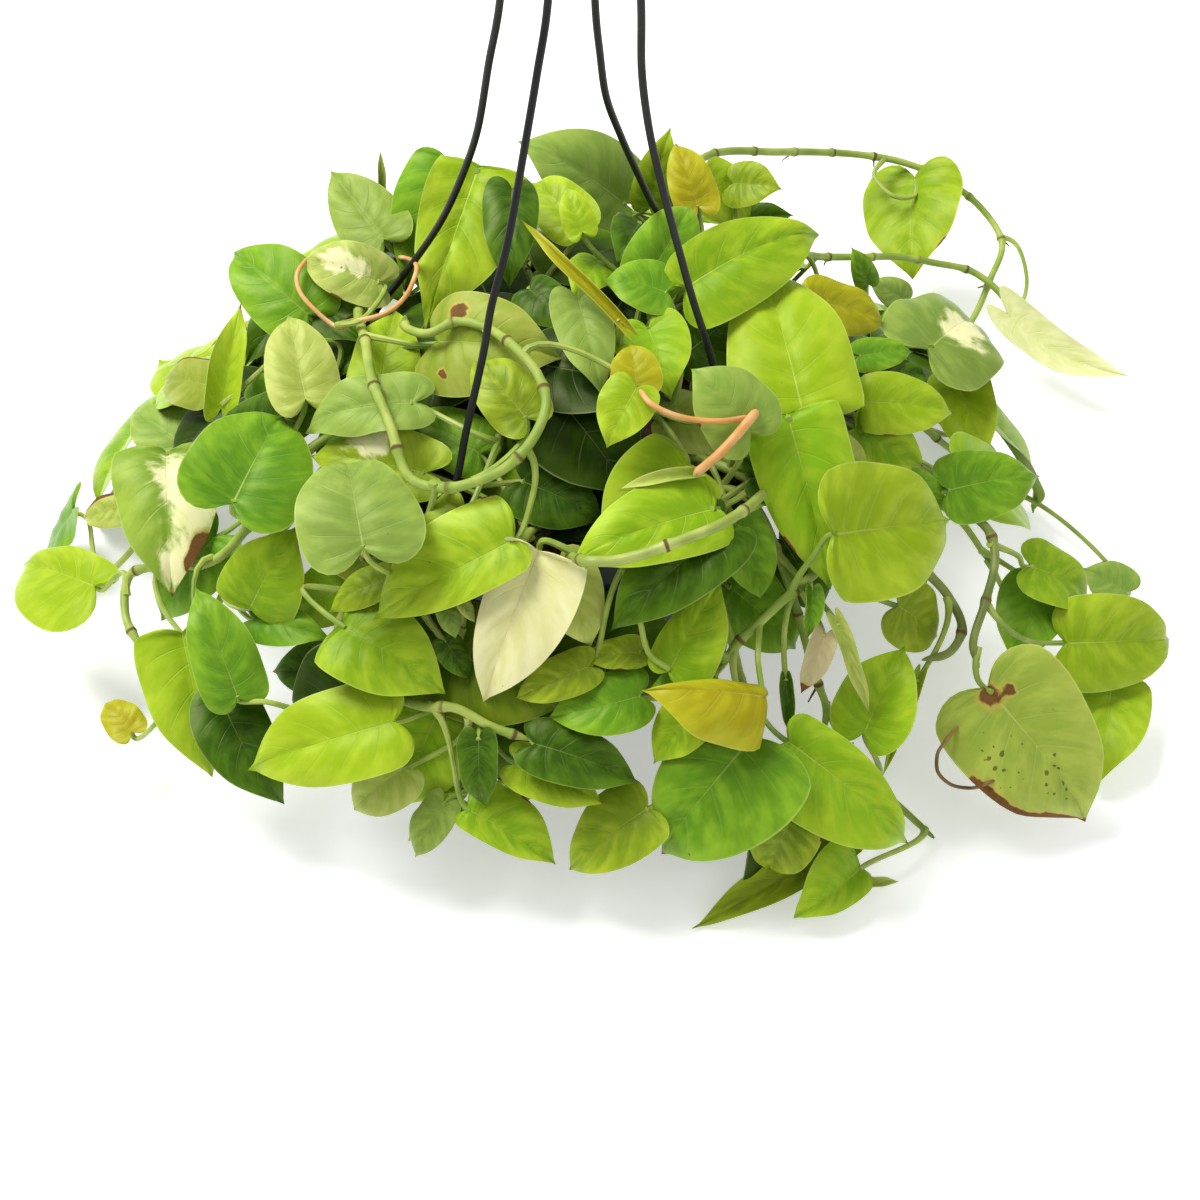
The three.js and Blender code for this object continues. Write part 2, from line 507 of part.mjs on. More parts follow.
// Leaves seen from the near side, from left to right and from the top down
const SEEN_LEAVES = [
  // Left edge, from the ground up
  seen("lime", [95, 586], [19, 560], 86, [10, 2], {
    arch: 0.2, lean: -0.35, via: [[124, 573, 8]], vine: "vine_left",
  }),
  seen("pale", [128, 508], [80, 519], 36, [2, 0]),
  seen("variegated", [166, 452], [172, 598], 100, [14, 4], { cup: 0.3, lobes: 0.4 }),
  seen("green", [232, 503], [286, 410], 122, [4, 2]),
  seen("deep", [238, 698], [194, 583], 64, [16, 18], { lobes: 0.6, via: [[268, 702, 8]] }),
  seen("lime", [182, 634], [213, 782], 84, [4, 2], { arch: 0.3, lobes: 0.3, lean: 0.15 }),
  seen("deep", [222, 700], [287, 807], 74, [2, 1], { sway: 0.2 }),
  seen("gold", [131, 732], [104, 699], 38, [4, 2], { via: [[160, 718, 3]] }),
  seen("limegreen", [250, 608], [296, 525], 84, [2, 4], { lobes: 0.4 }),
  seen("green", [254, 618], [330, 636], 44, [-6, -8]),
  seen("greygreen", [363, 548], [345, 452], 126, [18, 12], { arch: 0.45, cup: 0.25 }),
  seen("olive", [424, 470], [304, 452], 62, [-4, -6]),
  seen("lime", [514, 540], [370, 620], 92, [20, 12], { arch: 0.3, lobes: 0.4, lean: 0.2 }),
  seen("cream", [538, 551], [481, 706], 86, [16, 8], {
    arch: 0.25, lobes: 0.15, lean: -0.24, via: [[543, 541, 16]],
  }),
  seen("green", [342, 626], [448, 694], 94, [6, 6], {
    arch: 0.4, lobes: 0.3, via: [[322, 612, 6], [303, 588, 2]],
  }),
  seen("olive", [386, 578], [326, 612], 42, [0, -4]),
  seen("lime", [394, 722], [242, 770], 98, [16, 14], { arch: 0.3, lobes: 0.6 }),
  seen("limegreen", [432, 718], [388, 822], 104, [6, 2]),
  seen("pale", [404, 768], [350, 812], 66, [2, 2]),
  seen("greygreen", [444, 804], [413, 860], 40, [3, 2]),
  seen("limegreen", [452, 802], [402, 842], 34, [-2, 0]),
  seen("limegreen", [468, 810], [561, 866], 58, [8, 3], { lobes: 0.5, lean: -0.35 }),
  seen("olive", [648, 808], [564, 872], 78, [8, 3], { lobes: 0.5 }),
  seen("green", [750, 738], [653, 861], 138, [28, 10], { arch: 0.4, cup: 0.2, lobes: 0.6, lean: -0.2 }),
  seen("limegreen", [788, 741], [917, 847], 72, [22, 6], { arch: 0.35, lobes: 0.4, lean: 0.25 }),
  seen("olive", [792, 818], [766, 875], 74, [6, 2]),
  seen("olive", [838, 843], [690, 928], 46, [16, 2], { roll: 0.8, arch: 0.15 }),
  seen("limegreen", [860, 871], [793, 922], 62, [8, 4], { fold: 0.5, lobes: 0.5, lean: 0.3 }),
  seen("pale", [860, 883], [901, 880], 13, [8, 8], { roll: 1.4 }),
  seen("gold", [766, 697], [641, 689], 54, [36, 34], {
    cup: 0.35, lobes: 0.2, lean: -0.6, via: [[758, 655, 26]],
  }),
  seen("limegreen", [668, 672], [722, 578], 68, [14, 10], {
    lobes: 0.4, lean: 0.2,
    via: [[651, 652, 14], [637, 610, 16]],
    vine: "vine_near",
  }),
  seen("lime", [712, 673], [645, 690], 30, [8, 8]),
  seen("limegreen", [700, 706], [652, 765], 56, [10, 8]),
  seen("green", [640, 696], [546, 717], 66, [8, 6], { sway: -0.15 }),
  seen("olive", [640, 652], [580, 660], 34, [0, 2]),
  seen("deep", [724, 540], [612, 640], 86, [-4, -8]),
  seen("deep", [738, 524], [764, 602], 58, [-2, -6]),
  seen("lime", [689, 464], [598, 552], 100, [4, 4], { lobes: 0.4 }),
  seen("pale", [693, 474], [618, 489], 17, [16, 14], { roll: 1.6, via: [[716, 456, 20], [746, 419, 18]] }),
  seen("limegreen", [712, 517], [562, 574], 66, [4, 8], { lobes: 0.4 }),
  seen("green", [462, 462], [603, 452], 124, [-46, -14], { arch: 0.4, lobes: 0.5 }),
  seen("spotted", [438, 342], [565, 356], 106, [-2, -4], { arch: 0.4 }),
  seen("lime", [470, 345], [504, 388], 58, [-10, -10]),
  seen("lime", [478, 166], [424, 331], 90, [183, 158], { high: true, arch: 0.22, lobes: 0.2, lean: -0.22 }),
  seen("green", [450, 164], [404, 290], 80, [172, 144], { high: true, lobes: 0.3 }),
  seen("greygreen", [384, 240], [328, 167], 70, [10, 22], { arch: -0.2 }),
  seen("pale", [383, 194], [380, 150], 9, [10, 34], { roll: 1.5 }),
  seen("cream", [384, 288], [304, 264], 56, [2, 8], { arch: 0.6, via: [[360, 321, 10], [336, 325, 12]] }),
  seen("deep", [346, 246], [402, 292], 46, [0, -4]),
  seen("deep", [306, 290], [243, 366], 32, [2, -4]),
  seen("deep", [308, 302], [366, 342], 60, [-6, -10]),
  seen("pale", [221, 408], [241, 302], 40, [10, 34], {
    roll: 1.2,
    arch: 0.15,
    via: [[300, 344, 6], [340, 346, -8]],
  }),
  seen("spotted", [209, 386], [161, 380], 56, [8, 6]),
  seen("green", [255, 402], [286, 370], 34, [-4, -2]),
  seen("deep", [224, 430], [328, 381], 28, [14, 12], { arch: 0.15 }),
  seen("greygreen", [414, 402], [299, 431], 32, [0, 4], { arch: 0.5 }),
  // Right of the middle, from the top down
  seen("lime", [915, 181], [910, 280], 98, [66, 22], {
    high: true,
    arch: 0.2,
    via: [[912, 197, 66], [893, 196, 70], [874, 175, 76]],
    vine: "vine_far_right",
  }),
  seen("pale", [1008, 314], [1128, 374], 44, [36, 34], {
    roll: 0.9,
    high: true,
    arch: -0.25,
    sway: 0.3,
    via: [[1024, 300, 36], [1026, 272, 42], [1014, 242, 46]],
    vine: "vine_far_right",
  }),
  seen("greygreen", [928, 349], [970, 331], 118, [14, 16], {
    arch: 0.7,
    cup: 0.3,
    via: [[946, 312, 20]],
  }),
  seen("gold", [966, 350], [994, 368], 26, [4, 2]),
  seen("gold", [637, 389], [630, 341], 52, [10, 14], { via: [[682, 419, 16], [736, 423, 12]] }),
  seen("lime", [636, 392], [606, 452], 58, [14, 10]),
  seen("lime", [648, 328], [672, 397], 78, [2, 0]),
  seen("gold", [620, 322], [520, 217], 15, [14, 30], { roll: 1.9, arch: 0.05 }),
  seen("greygreen", [578, 300], [603, 398], 58, [0, -2]),
  seen("deep", [530, 290], [576, 330], 50, [-2, -8]),
  seen("greygreen", [626, 204], [519, 139], 92, [4, 14]),
  seen("lime", [576, 226], [530, 180], 58, [2, 4]),
  seen("lime", [582, 232], [566, 186], 34, [12, 16]),
  seen("lime", [650, 206], [670, 127], 42, [6, 26]),
  seen("gold", [698, 212], [675, 145], 46, [12, 22]),
  seen("gold", [704, 180], [754, 220], 56, [18, 10], { lobes: 0.6 }),
  seen("deep", [734, 184], [782, 188], 48, [4, 0]),
  seen("deep", [742, 222], [790, 212], 34, [2, 0]),
  seen("limegreen", [686, 286], [827, 228], 78, [14, 12], { sway: -0.1, lobes: 0.6, lean: 0.15 }),
  seen("green", [666, 292], [601, 278], 62, [10, 8]),
  seen("green", [604, 246], [577, 286], 46, [2, 0]),
  seen("deep", [512, 190], [509, 288], 50, [-6, -8]),
  seen("deep", [640, 222], [618, 262], 46, [6, 2]),
  seen("gold", [814, 300], [890, 324], 54, [2, 0], { cup: 0.3 }),
  seen("lime", [803, 416], [762, 263], 130, [20, 16], { arch: 0.35, cup: 0.22, lobes: 0.2 }),
  seen("pale", [856, 472], [798, 416], 56, [4, 4]),
  seen("limegreen", [786, 414], [830, 592], 96, [14, 4], { arch: 0.3, lobes: 0.2, lean: -0.1 }),
  seen("lime", [815, 547], [936, 531], 132, [20, 12], {
    lobes: 0.6,
    arch: 0.3,
    via: [[803, 570, 14]],
    vine: "vine_low_right",
  }),
  seen("lime", [864, 402], [957, 412], 60, [10, 6], { lobes: 0.4 }),
  seen("green", [858, 428], [930, 468], 58, [2, 0], { lobes: 0.5 }),
  seen("limegreen", [956, 378], [984, 470], 62, [0, -2]),
  seen("limegreen", [948, 490], [1044, 474], 72, [12, 8], { lobes: 0.6 }),
  seen("lime", [905, 480], [938, 510], 34, [-6, -6]),
  seen("deep", [868, 284], [852, 247], 26, [8, 12]),
  seen("green", [906, 299], [870, 279], 30, [4, 6]),
  seen("green", [860, 356], [915, 350], 34, [-6, -6]),
  seen("deep", [868, 376], [936, 372], 30, [-10, -10]),
  seen("deep", [1040, 586], [1014, 668], 70, [14, 4]),
  seen("limegreen", [1032, 566], [1092, 600], 62, [26, 18], { via: [[1018, 556, 26]], vine: "vine_right" }),
  seen("greygreen", [1126, 592], [1082, 567], 42, [14, 14]),
  seen("limegreen", [1062, 645], [1177, 641], 92, [30, 12], { arch: 0.4, lobes: 0.6 }),
  seen("lime", [1112, 686], [1096, 787], 74, [18, 4], { lobes: 0.5, lean: -0.1, via: [[1066, 692, 14]] }),
  seen("speckled", [988, 688], [1090, 826], 136, [34, 4], {
    lobes: 0.6,
    arch: 0.45,
    via: [[976, 672, 30]],
    vine: "vine_right",
  }),
  seen("green", [864, 733], [905, 645], 78, [12, 14], { cup: -0.25 }),
  seen("pale", [836, 622], [868, 713], 18, [14, 14], { roll: 1.3 }),
  seen("deep", [812, 590], [808, 638], 28, [8, 10], { roll: 1.5 }),
  seen("brownend", [824, 636], [801, 694], 32, [14, 10], { roll: 0.9 }),
  seen("olive", [898, 606], [940, 638], 72, [-8, -6]),
  seen("olive", [918, 680], [882, 778], 15, [10, 3], { roll: 1.2 }),
  seen("deep", [786, 680], [790, 736], 16, [4, 2], { roll: 1.1 }),
  seen("deep", [478, 734], [484, 806], 24, [2, 2]),
  seen("lime", [520, 765], [607, 805], 38, [4, 3]),
  seen("deep", [532, 748], [638, 786], 50, [-2, -2]),
  seen("greygreen", [446, 606], [456, 640], 24, [2, 2]),
  seen("pale", [461, 600], [475, 623], 13, [6, 6]),
  seen("green", [446, 642], [470, 680], 32, [0, 0]),
  seen("olive", [590, 668], [514, 701], 46, [4, 2]),
  seen("greygreen", [738, 440], [682, 374], 80, [-4, 0]),
];

// Main stems. A route is a list of picture points with a lift above the mound, or a height if it is high.
const SEEN_STEMS = [
  {
    name: "vine_loop",
    hole: { azimuth: 165, reach: 52 },
    route: [
      [363, 312, -2], [366, 345, 6], [372, 380, 10], [390, 425, 12], [410, 478, 12], [440, 488, 14],
      [468, 484, 18], [505, 468, 22], [532, 440, 24], [546, 405, 22], [538, 375, 18], [512, 345, 12],
      [482, 326, 6], [455, 322, 6], [430, 333, 6], [407, 328, 2], [405, 316, -2],
    ],
  },
  {
    name: "vine_near",
    hole: { azimuth: 318, reach: 48 },
    route: [
      [765, 495, -2], [745, 510, 6], [713, 528, 12], [685, 540, 14], [650, 550, 14],
      [610, 561, 14], [575, 556, 14], [545, 541, 14], [523, 533, 12],
    ],
  },
  {
    name: "vine_low_right",
    hole: { azimuth: 302, reach: 60 },
    route: [[828, 548, -14], [803, 584, 4], [780, 603, 10], [757, 625, 12], [737, 643, 10], [720, 667, 6]],
  },
  {
    name: "vine_far_right",
    high: true,
    hole: { azimuth: 60, reach: 70 },
    route: [
      [705, 157, 128], [780, 152, 108], [862, 155, 84], [905, 163, 76], [945, 180, 66], [980, 207, 56],
      [1002, 243, 46], [990, 280, 36], [975, 315, 24], [962, 335, 18],
    ],
  },
  {
    name: "vine_upper_right",
    high: true,
    hole: { azimuth: 38, reach: 66 },
    route: [
      [826, 257, 76], [862, 257, 68], [898, 257, 60], [935, 263, 52], [973, 272, 44], [1000, 293, 38],
      [1010, 309, 34],
    ],
  },
  {
    name: "vine_right",
    hole: { azimuth: 346, reach: 72 },
    route: [
      [912, 462, -12], [945, 487, 6], [970, 512, 16], [990, 533, 22], [995, 560, 24], [986, 600, 26],
      [973, 645, 26], [979, 668, 28],
    ],
  },
  {
    name: "vine_right_low",
    hole: { azimuth: 332, reach: 76 },
    route: [[895, 545, -8], [925, 571, 6], [948, 596, 10], [962, 628, 12], [950, 652, 12], [922, 660, 10]],
  },
  {
    name: "vine_left",
    hole: { azimuth: 190, reach: 70 },
    route: [[215, 560, -12], [165, 566, -2], [130, 575, 6], [125, 612, 8], [134, 636, 8], [147, 652, 5]],
  },
  {
    name: "vine_low_left",
    hole: { azimuth: 236, reach: 76 },
    route: [
      [392, 640, -14], [392, 690, -8], [420, 706, 2], [455, 708, 6], [490, 726, 6], [525, 738, 4],
      [562, 748, 2], [600, 770, 0],
    ],
  },
];

// A stem from its hole in the soil to where it comes into sight. To clear another vine it is turned by
// a few degrees at its hole, or its hidden stretch is sunk.
const SHIFTS = [0, 3, -3, 6, -6, 9, -9, 13, -13, 17, -17];
const SINKS = [0, 6, -6, 12, 18];

function stemCurve(stem, shift, sink) {
  const turn = rad(stem.hole.azimuth + shift);
  const { reach } = stem.hole;
  const low = vec(reach * Math.cos(turn), reach * Math.sin(turn), soilTop - STEM_DEPTH_IN_SOIL);
  const throat = low.clone().setZ(soilTop);
  const mouth = low.clone().setZ(soilTop + SOIL_CROWN + 8);
  const route = stem.points
    ? stem.points(shift, sink)
    : stem.route.map((p) => (stem.high ? atHeight(p, p[2]) : onMound(p, p[2])));
  const first = route[0];
  const flat = Math.hypot(first.x, first.y);
  const points = [low, throat, mouth];
  if (flat > RIM_RADIUS && !stem.points) {
    const over = RIM_RADIUS / flat;
    const crest = mouth.clone().lerp(first, 0.45);
    crest.x = 0.5 * crest.x + 0.5 * first.x * over;
    crest.y = 0.5 * crest.y + 0.5 * first.y * over;
    crest.z = Math.max(POT_HEIGHT + 9, moundHeight(crest.x, crest.y) - 12 - sink);
    points.push(crest);
  }
  return smooth([...points, ...route]);
}

// Stems that fill the plant evenly all round, each in its own narrow sector
const RADIAL_STEMS = 15;
const RADIAL = { past: 3, over: 8, spans: 5 };
const CROWN_STEMS = 5;

function radialStem(i) {
  const draw = seeded(700 + i);
  const azimuth = (360 * (i + 0.5)) / RADIAL_STEMS + 3 * (draw() - 0.5);
  const depth = 17 + 9 * (i % 3) * 0.5;
  const reachTo = 0.8 + 0.2 * draw();
  const far = Math.sin(rad(azimuth)) < 0 ? MOUND.near : MOUND.far;
  const c = Math.cos(rad(azimuth));
  const s = Math.sin(rad(azimuth));
  const edge = reachTo / Math.hypot(c / MOUND.side, s / far);
  const from = RIM_RADIUS + RADIAL.past;
  const points = (shift, sink) => {
    const way = [];
    for (let k = 0; k <= RADIAL.spans; k++) {
      const r = from + ((edge - from) * k) / RADIAL.spans;
      const turn = rad(azimuth + shift + 2.5 * Math.sin(k * 1.7 + i));
      const x = r * Math.cos(turn);
      const y = r * Math.sin(turn);
      const overRim = k === 0 ? POT_HEIGHT + RADIAL.over : 0;
      way.push(vec(x, y, Math.max(moundHeight(x, y) - depth - sink, overRim, 5)));
    }
    return way;
  };
  const name = `vine_round_${String(i + 1).padStart(2, "0")}`;
  return { name, hole: { azimuth, reach: 62 + 14 * (i % 2) }, points };
}

function crownStem(i) {
  const draw = seeded(900 + i);
  const azimuth = (360 * i) / CROWN_STEMS + 20;
  const sway = 14 * (draw() - 0.3);
  const points = (shift, sink) =>
    [18, 34, 52, 70].map((r, k) => {
      const turn = rad(azimuth + shift + sway * k);
      return vec(r * Math.cos(turn), r * Math.sin(turn), 136 + 8 * Math.min(k, 2) - sink / 2);
    });
  return { name: `vine_crown_${i + 1}`, hole: { azimuth, reach: 20 }, points };
}

// Fitting: every leaf, leaf stalk and stem is bent or moved clear of what belongs to another vine

const placedSolids = [];

function remember(solid, owner, kind) {
  placedSolids.push({ solid, owner, kind, box: solid.boundingBox() });
}

function boxesMeet(a, b) {
  return [0, 1, 2].every((k) => a.min[k] <= b.max[k] && b.min[k] <= a.max[k]);
}

// Whether a solid meets one placed before it, apart from those that it may meet
function crosses(solid, mayMeet) {
  const box = solid.boundingBox();
  return placedSolids.some(
    (other) => !mayMeet(other) && boxesMeet(box, other.box) && solid.intersect(other.solid).volume() > 1e-4,
  );
}
const nothing = () => false;

const vines = [];
const holes = [];

// Where leaf stalks can start: on the middle line of the stem, between its rings
function stemNodes(curve, steps) {
  const rings = curve.getSpacedPoints(steps);
  const nodes = rings.slice(1).flatMap((at, k) => {
    const along = at.clone().sub(rings[k]).normalize();
    return NODE_SHARES.map((share) => ({ at: rings[k].clone().lerp(at, share), along }));
  });
  const outside = ({ at }) => at.z > soilTop + SOIL_CROWN + 8 || Math.hypot(at.x, at.y) > RIM_RADIUS;
  return nodes.filter(outside);
}

function plantStem(stem, bold) {
  const radius = bold ? BOLD_STEM_RADIUS : STEM_RADIUS;
  for (const [shift, sink] of SINKS.flatMap((down) => SHIFTS.map((by) => [by, down]))) {
    const curve = stemCurve(stem, shift, sink);
    const steps = Math.max(6, Math.round(curve.getLength() / (bold ? BOLD_SPAN : THIN_SPAN)));
    const guard = tube(curve, radius + GUARD, STEM_SIDES, steps);
    if (crosses(guard, nothing)) continue;
    const turn = rad(stem.hole.azimuth + shift);
    const mouth = vec(stem.hole.reach * Math.cos(turn), stem.hole.reach * Math.sin(turn), 0);
    holes.push(stemHole(mouth.x, mouth.y, radius + HOLE_EASE));
    remember(guard, stem.name, "stem");
    const vine = { name: stem.name, curve, pieces: [tube(curve, radius, STEM_SIDES, steps)], leaves: 0 };
    vine.nodes = stemNodes(curve, steps);
    vines.push(vine);
    return;
  }
}

// How a leaf may be moved along its normal to clear its neighbours
const NUDGES = [0, 3, -3, 6, -6, 9, -9, 12, -12, 16, -16, 20, -20, 25, -25];
const ROLLS = [0, 9, -9, 18, -18];
const SIZES = [1, 0.84, 0.7];

function moved(leaf, nudge, rollBy, size) {
  const base = leaf.base.clone().addScaledVector(leaf.normal, nudge);
  base.addScaledVector(leaf.axis, (leaf.length * (1 - size)) / 2);
  const normal = leaf.normal.clone().applyAxisAngle(leaf.axis, rad(rollBy));
  const side = leaf.axis.clone().cross(normal);
  return { ...leaf, base, normal, side, length: leaf.length * size, width: leaf.width * size };
}

const LEAF_MOVES = SIZES.flatMap((size) =>
  NUDGES.flatMap((nudge) => ROLLS.map((rollBy) => [nudge, rollBy, size])),
);

const STALK_BENDS = [0.35, 0.9, -0.1];
const TIGHTEST_TURN = rad(72);
const STALK_REACH = { shortest: 14, best: 36, longest: 95 };

// The middle of the blade's thickness beside the notch, within one of its flat faces
function stalkEnd(leaf) {
  const plan = bladePlan(leaf);
  const [a, b, c] = BLADE_FACES[0].map((k) => bladeSpot(leaf, ...plan[k]));
  return a.multiplyScalar(0.66).addScaledVector(b, 0.12).addScaledVector(c, 0.22);
}

// A leaf stalk leaves its stem, bends, and comes up to the notch from under the blade
function stalkCurve(leaf, from, bend) {
  const end = stalkEnd(leaf);
  const into = leaf.axis.clone().multiplyScalar(0.55).addScaledVector(leaf.normal, 0.85).normalize();
  const before = end.clone().addScaledVector(into, -7);
  const seenWay = (leaf.via ?? []).map((p) => (leaf.high ? atHeight(p, p[2]) : onMound(p, p[2])));
  if (seenWay.length) {
    const below = bend ? [before.lerp(end, 0.4)] : [];
    return smooth([from.at, ...seenWay.reverse(), ...below, end]);
  }
  const gap = from.at.distanceTo(end);
  const leave = from.along.clone().multiplyScalar(0.5);
  leave.add(before.clone().sub(from.at).normalize().multiplyScalar(0.5)).addScaledVector(UP, bend);
  const out = from.at.clone().addScaledVector(leave.normalize(), gap * 0.35);
  out.z = Math.max(out.z, 4);
  return new THREE.CubicBezierCurve3(from.at, out, end.clone().addScaledVector(into, -gap * 0.3), end);
}

function stalkStarts(leaf) {
  const way = leaf.via?.at(-1);
  const toward = way ? (leaf.high ? atHeight(way, way[2]) : onMound(way, way[2])) : leaf.base;
  const starts = [];
  for (const vine of vines) {
    if (leaf.vine && vine.name !== leaf.vine) continue;
    for (const node of vine.nodes) {
      const gap = node.at.distanceTo(toward);
      const near = way ? 2 : STALK_REACH.shortest;
      if (gap < near || gap > STALK_REACH.longest) continue;
      const best = way ? 12 : STALK_REACH.best;
      const behind = node.at.clone().sub(leaf.base).normalize().dot(leaf.axis);
      starts.push({ vine, node, cost: Math.abs(gap - best) + 14 * behind + 1.5 * vine.leaves });
    }
  }
  return starts.sort((a, b) => a.cost - b.cost).slice(0, 26);
}

function stalkSteps(leaf) {
  return leaf.via ? 3 + 2 * leaf.via.length : 2;
}

// Whether a curve bends so tightly that the rings of a tube along it would cut into each other
function bendsTooTightly(curve, steps) {
  const rings = curve.getSpacedPoints(steps);
  return rings.slice(1).some((at, k) => {
    const along = at.clone().sub(rings[k]);
    const turns = [k, k + 1].map((ring) => along.angleTo(curve.getTangentAt(ring / steps)));
    const need = PETIOLE_RADIUS * (Math.tan(turns[0]) + Math.tan(turns[1]));
    return Math.max(...turns) > TIGHTEST_TURN || along.length() < 1.5 * need;
  });
}

// A stalk meets its own stem, and other stalks and blades of its vine only where there is no other way
function fitStalk(leaf, blade) {
  const starts = stalkStarts(leaf);
  const bends = leaf.via ? [1, 0] : STALK_BENDS;
  for (const ownKinds of [["stem"], ["stem", "stalk"], ["stem", "stalk", "blade"]]) {
    for (const { vine, node } of starts) {
      const own = (other) => other.owner === vine.name && ownKinds.includes(other.kind);
      for (const bend of bends) {
        const curve = stalkCurve(leaf, node, bend);
        if (bendsTooTightly(curve, stalkSteps(leaf))) continue;
        const guard = tube(curve, PETIOLE_RADIUS + GUARD, 3, stalkSteps(leaf));
        if (guard.boundingBox().min[2] < LOWEST || crosses(guard, own)) continue;
        const solid = tube(curve, PETIOLE_RADIUS, 3, stalkSteps(leaf));
        const joins = [blade, vine.pieces[0]].every((end) => solid.intersect(end).volume() > JOINED);
        if (joins) return { vine, guard, solid };
      }
    }
  }
  return null;
}

function plantLeaf(leaf) {
  for (const move of LEAF_MOVES) {
    const tried = moved(leaf, ...move);
    const guard = bladeSolid(tried, BLADE + 2 * GUARD);
    if (crosses(guard, nothing)) continue;
    const blade = bladeSolid(tried, BLADE);
    const stalk = fitStalk(tried, blade);
    if (!stalk) continue;
    remember(guard, stalk.vine.name, "blade");
    remember(stalk.guard, stalk.vine.name, "stalk");
    stalk.vine.pieces.push(blade, stalk.solid);
    stalk.vine.leaves += 1;
    return tried;
  }
  return null;
}

// Leaves that fill the plant evenly all round, each with draws from a seed of its own
const FILL_KINDS = [
  "lime", "limegreen", "green", "limegreen", "green", "deep", "olive", "lime", "greygreen", "pale",
];
const GOLDEN_ANGLE = 137.508;

// On the far side and the sides they lie on the mound
const ROUND_FILL = { tries: 240, most: 25, apart: 41, nearest: -20 };

// Where bare ground shows between the leaves, as middles and radii in the picture frame
const BARE_GROUND = [
  { across: 285, down: 330, radius: 70 },
  { across: 250, down: 850, radius: 60 },
  { across: 990, down: 585, radius: 45 },
];

function hidesGround(point) {
  const away = point.clone().sub(CAMERA.eye);
  const scale = VIEW.focal / away.dot(CAMERA.forward);
  const across = VIEW.middle + away.dot(CAMERA.right) * scale;
  const down = VIEW.middle - away.dot(CAMERA.above) * scale;
  return BARE_GROUND.some((bare) => Math.hypot(across - bare.across, down - bare.down) < bare.radius);
}

function roundLeaf(i) {
  const draw = seeded(5000 + 37 * i);
  const azimuth = (i * GOLDEN_ANGLE) % 360;
  const q = 0.3 + 0.7 * Math.sqrt(draw());
  const far = Math.sin(rad(azimuth)) < 0 ? MOUND.near : MOUND.far;
  const reach = q / Math.hypot(Math.cos(rad(azimuth)) / MOUND.side, Math.sin(rad(azimuth)) / far);
  const lift = 8 * (draw() - 0.5);
  const kind = FILL_KINDS[Math.floor(draw() * FILL_KINDS.length)];
  const turn = 130 * (draw() - 0.5);
  return placed(kind, azimuth, reach, lift, turn, 48 + 22 * draw(), draw);
}

function leafMiddle(leaf) {
  return leaf.base.clone().addScaledVector(leaf.axis, leaf.length * 0.45);
}

// On the near side they lie under the others, and each covers a gap between them in the picture frame
const UNDER_FILL = { tries: 300, most: 20, middle: [548, 500], radii: [400, 320], shares: [0.5, 0.3, 0.18] };
const CELL = 11;

function underLeaf(i) {
  const draw = seeded(9000 + 53 * i);
  const out = Math.sqrt((i + 0.5) / UNDER_FILL.tries);
  const turn = rad(i * GOLDEN_ANGLE);
  const px = UNDER_FILL.middle[0] + UNDER_FILL.radii[0] * out * Math.cos(turn);
  const py = UNDER_FILL.middle[1] + UNDER_FILL.radii[1] * out * Math.sin(turn);
  const point = turn + rad(110 * (draw() - 0.5));
  const half = 38 + 14 * draw();
  const notch = [px - half * Math.cos(point), py - half * Math.sin(point)];
  const tip = [px + half * Math.cos(point), py + half * Math.sin(point)];
  const lift = -10 - 14 * draw();
  const kind = draw() < 0.45 ? "deep" : FILL_KINDS[Math.floor(draw() * FILL_KINDS.length)];
  return seen(kind, notch, tip, 1.55 * half, [lift, lift - 4], { arch: 0.2 + 0.2 * draw() });
}

// The cells of the picture frame that a blade covers
function cellsOf(leaf) {
  const cells = new Set();
  const across = (v) => 0.44 * Math.sqrt(Math.max(0, 1 - ((v - 0.3) / 0.68) ** 2));
  for (let v = -0.1; v < 0.9; v += 0.08) {
    for (let u = -1; u <= 1.01; u += 0.16) {
      const toSpot = bladeSpot(leaf, u * across(v) * leaf.width, v * leaf.length).sub(CAMERA.eye);
      const scale = VIEW.focal / toSpot.dot(CAMERA.forward) / CELL;
      const column = Math.round(toSpot.dot(CAMERA.right) * scale);
      const row = Math.round(toSpot.dot(CAMERA.above) * scale);
      cells.add(`${column},${row}`);
    }
  }
  return cells;
}

// Assembly

const part = new THREE.Group();

function addMesh(name, solid, finish) {
  const mesh = new THREE.Mesh(geometryOf(solid), new THREE.MeshStandardMaterial(finish));
  mesh.name = name;
  part.add(mesh);
}

const BLACK_PLASTIC = { color: 0x1c1d1e, roughness: 0.45, metalness: 0 };
const POT_PLASTIC = { color: 0x26282a, roughness: 0.55, metalness: 0 };
const PEAT = { color: 0x3a2a1e, roughness: 0.95, metalness: 0 };
const FOLIAGE = { color: 0x86b83a, roughness: 0.42, metalness: 0 };

// The pot's wall, a little larger all round, which stems keep clear of, and the same filled up to the
// soil, which leaves keep clear of
function keepClearOfPot(filled) {
  const ease = 0.6;
  const outside = [
    [FOOT_RADIUS + ease, 0],
    [RIM_RADIUS - RIM_STEP + ease, POT_HEIGHT - RIM_DROP - ease],
    [RIM_RADIUS + ease, POT_HEIGHT - RIM_DROP - ease],
    [RIM_RADIUS + ease, POT_HEIGHT + ease],
    [innerRadius(POT_HEIGHT) - ease, POT_HEIGHT + ease],
  ];
  const overSoil = soilTop + SOIL_CROWN + ease;
  const profile = filled
    ? [[0, 0], ...outside, [innerRadius(overSoil) - ease, overSoil], [0, overSoil]]
    : [...outside, [FOOT_RADIUS - 5, 0], outside[0]];
  remember(lathe(profile, POT_SIDES), "pot", "pot");
}

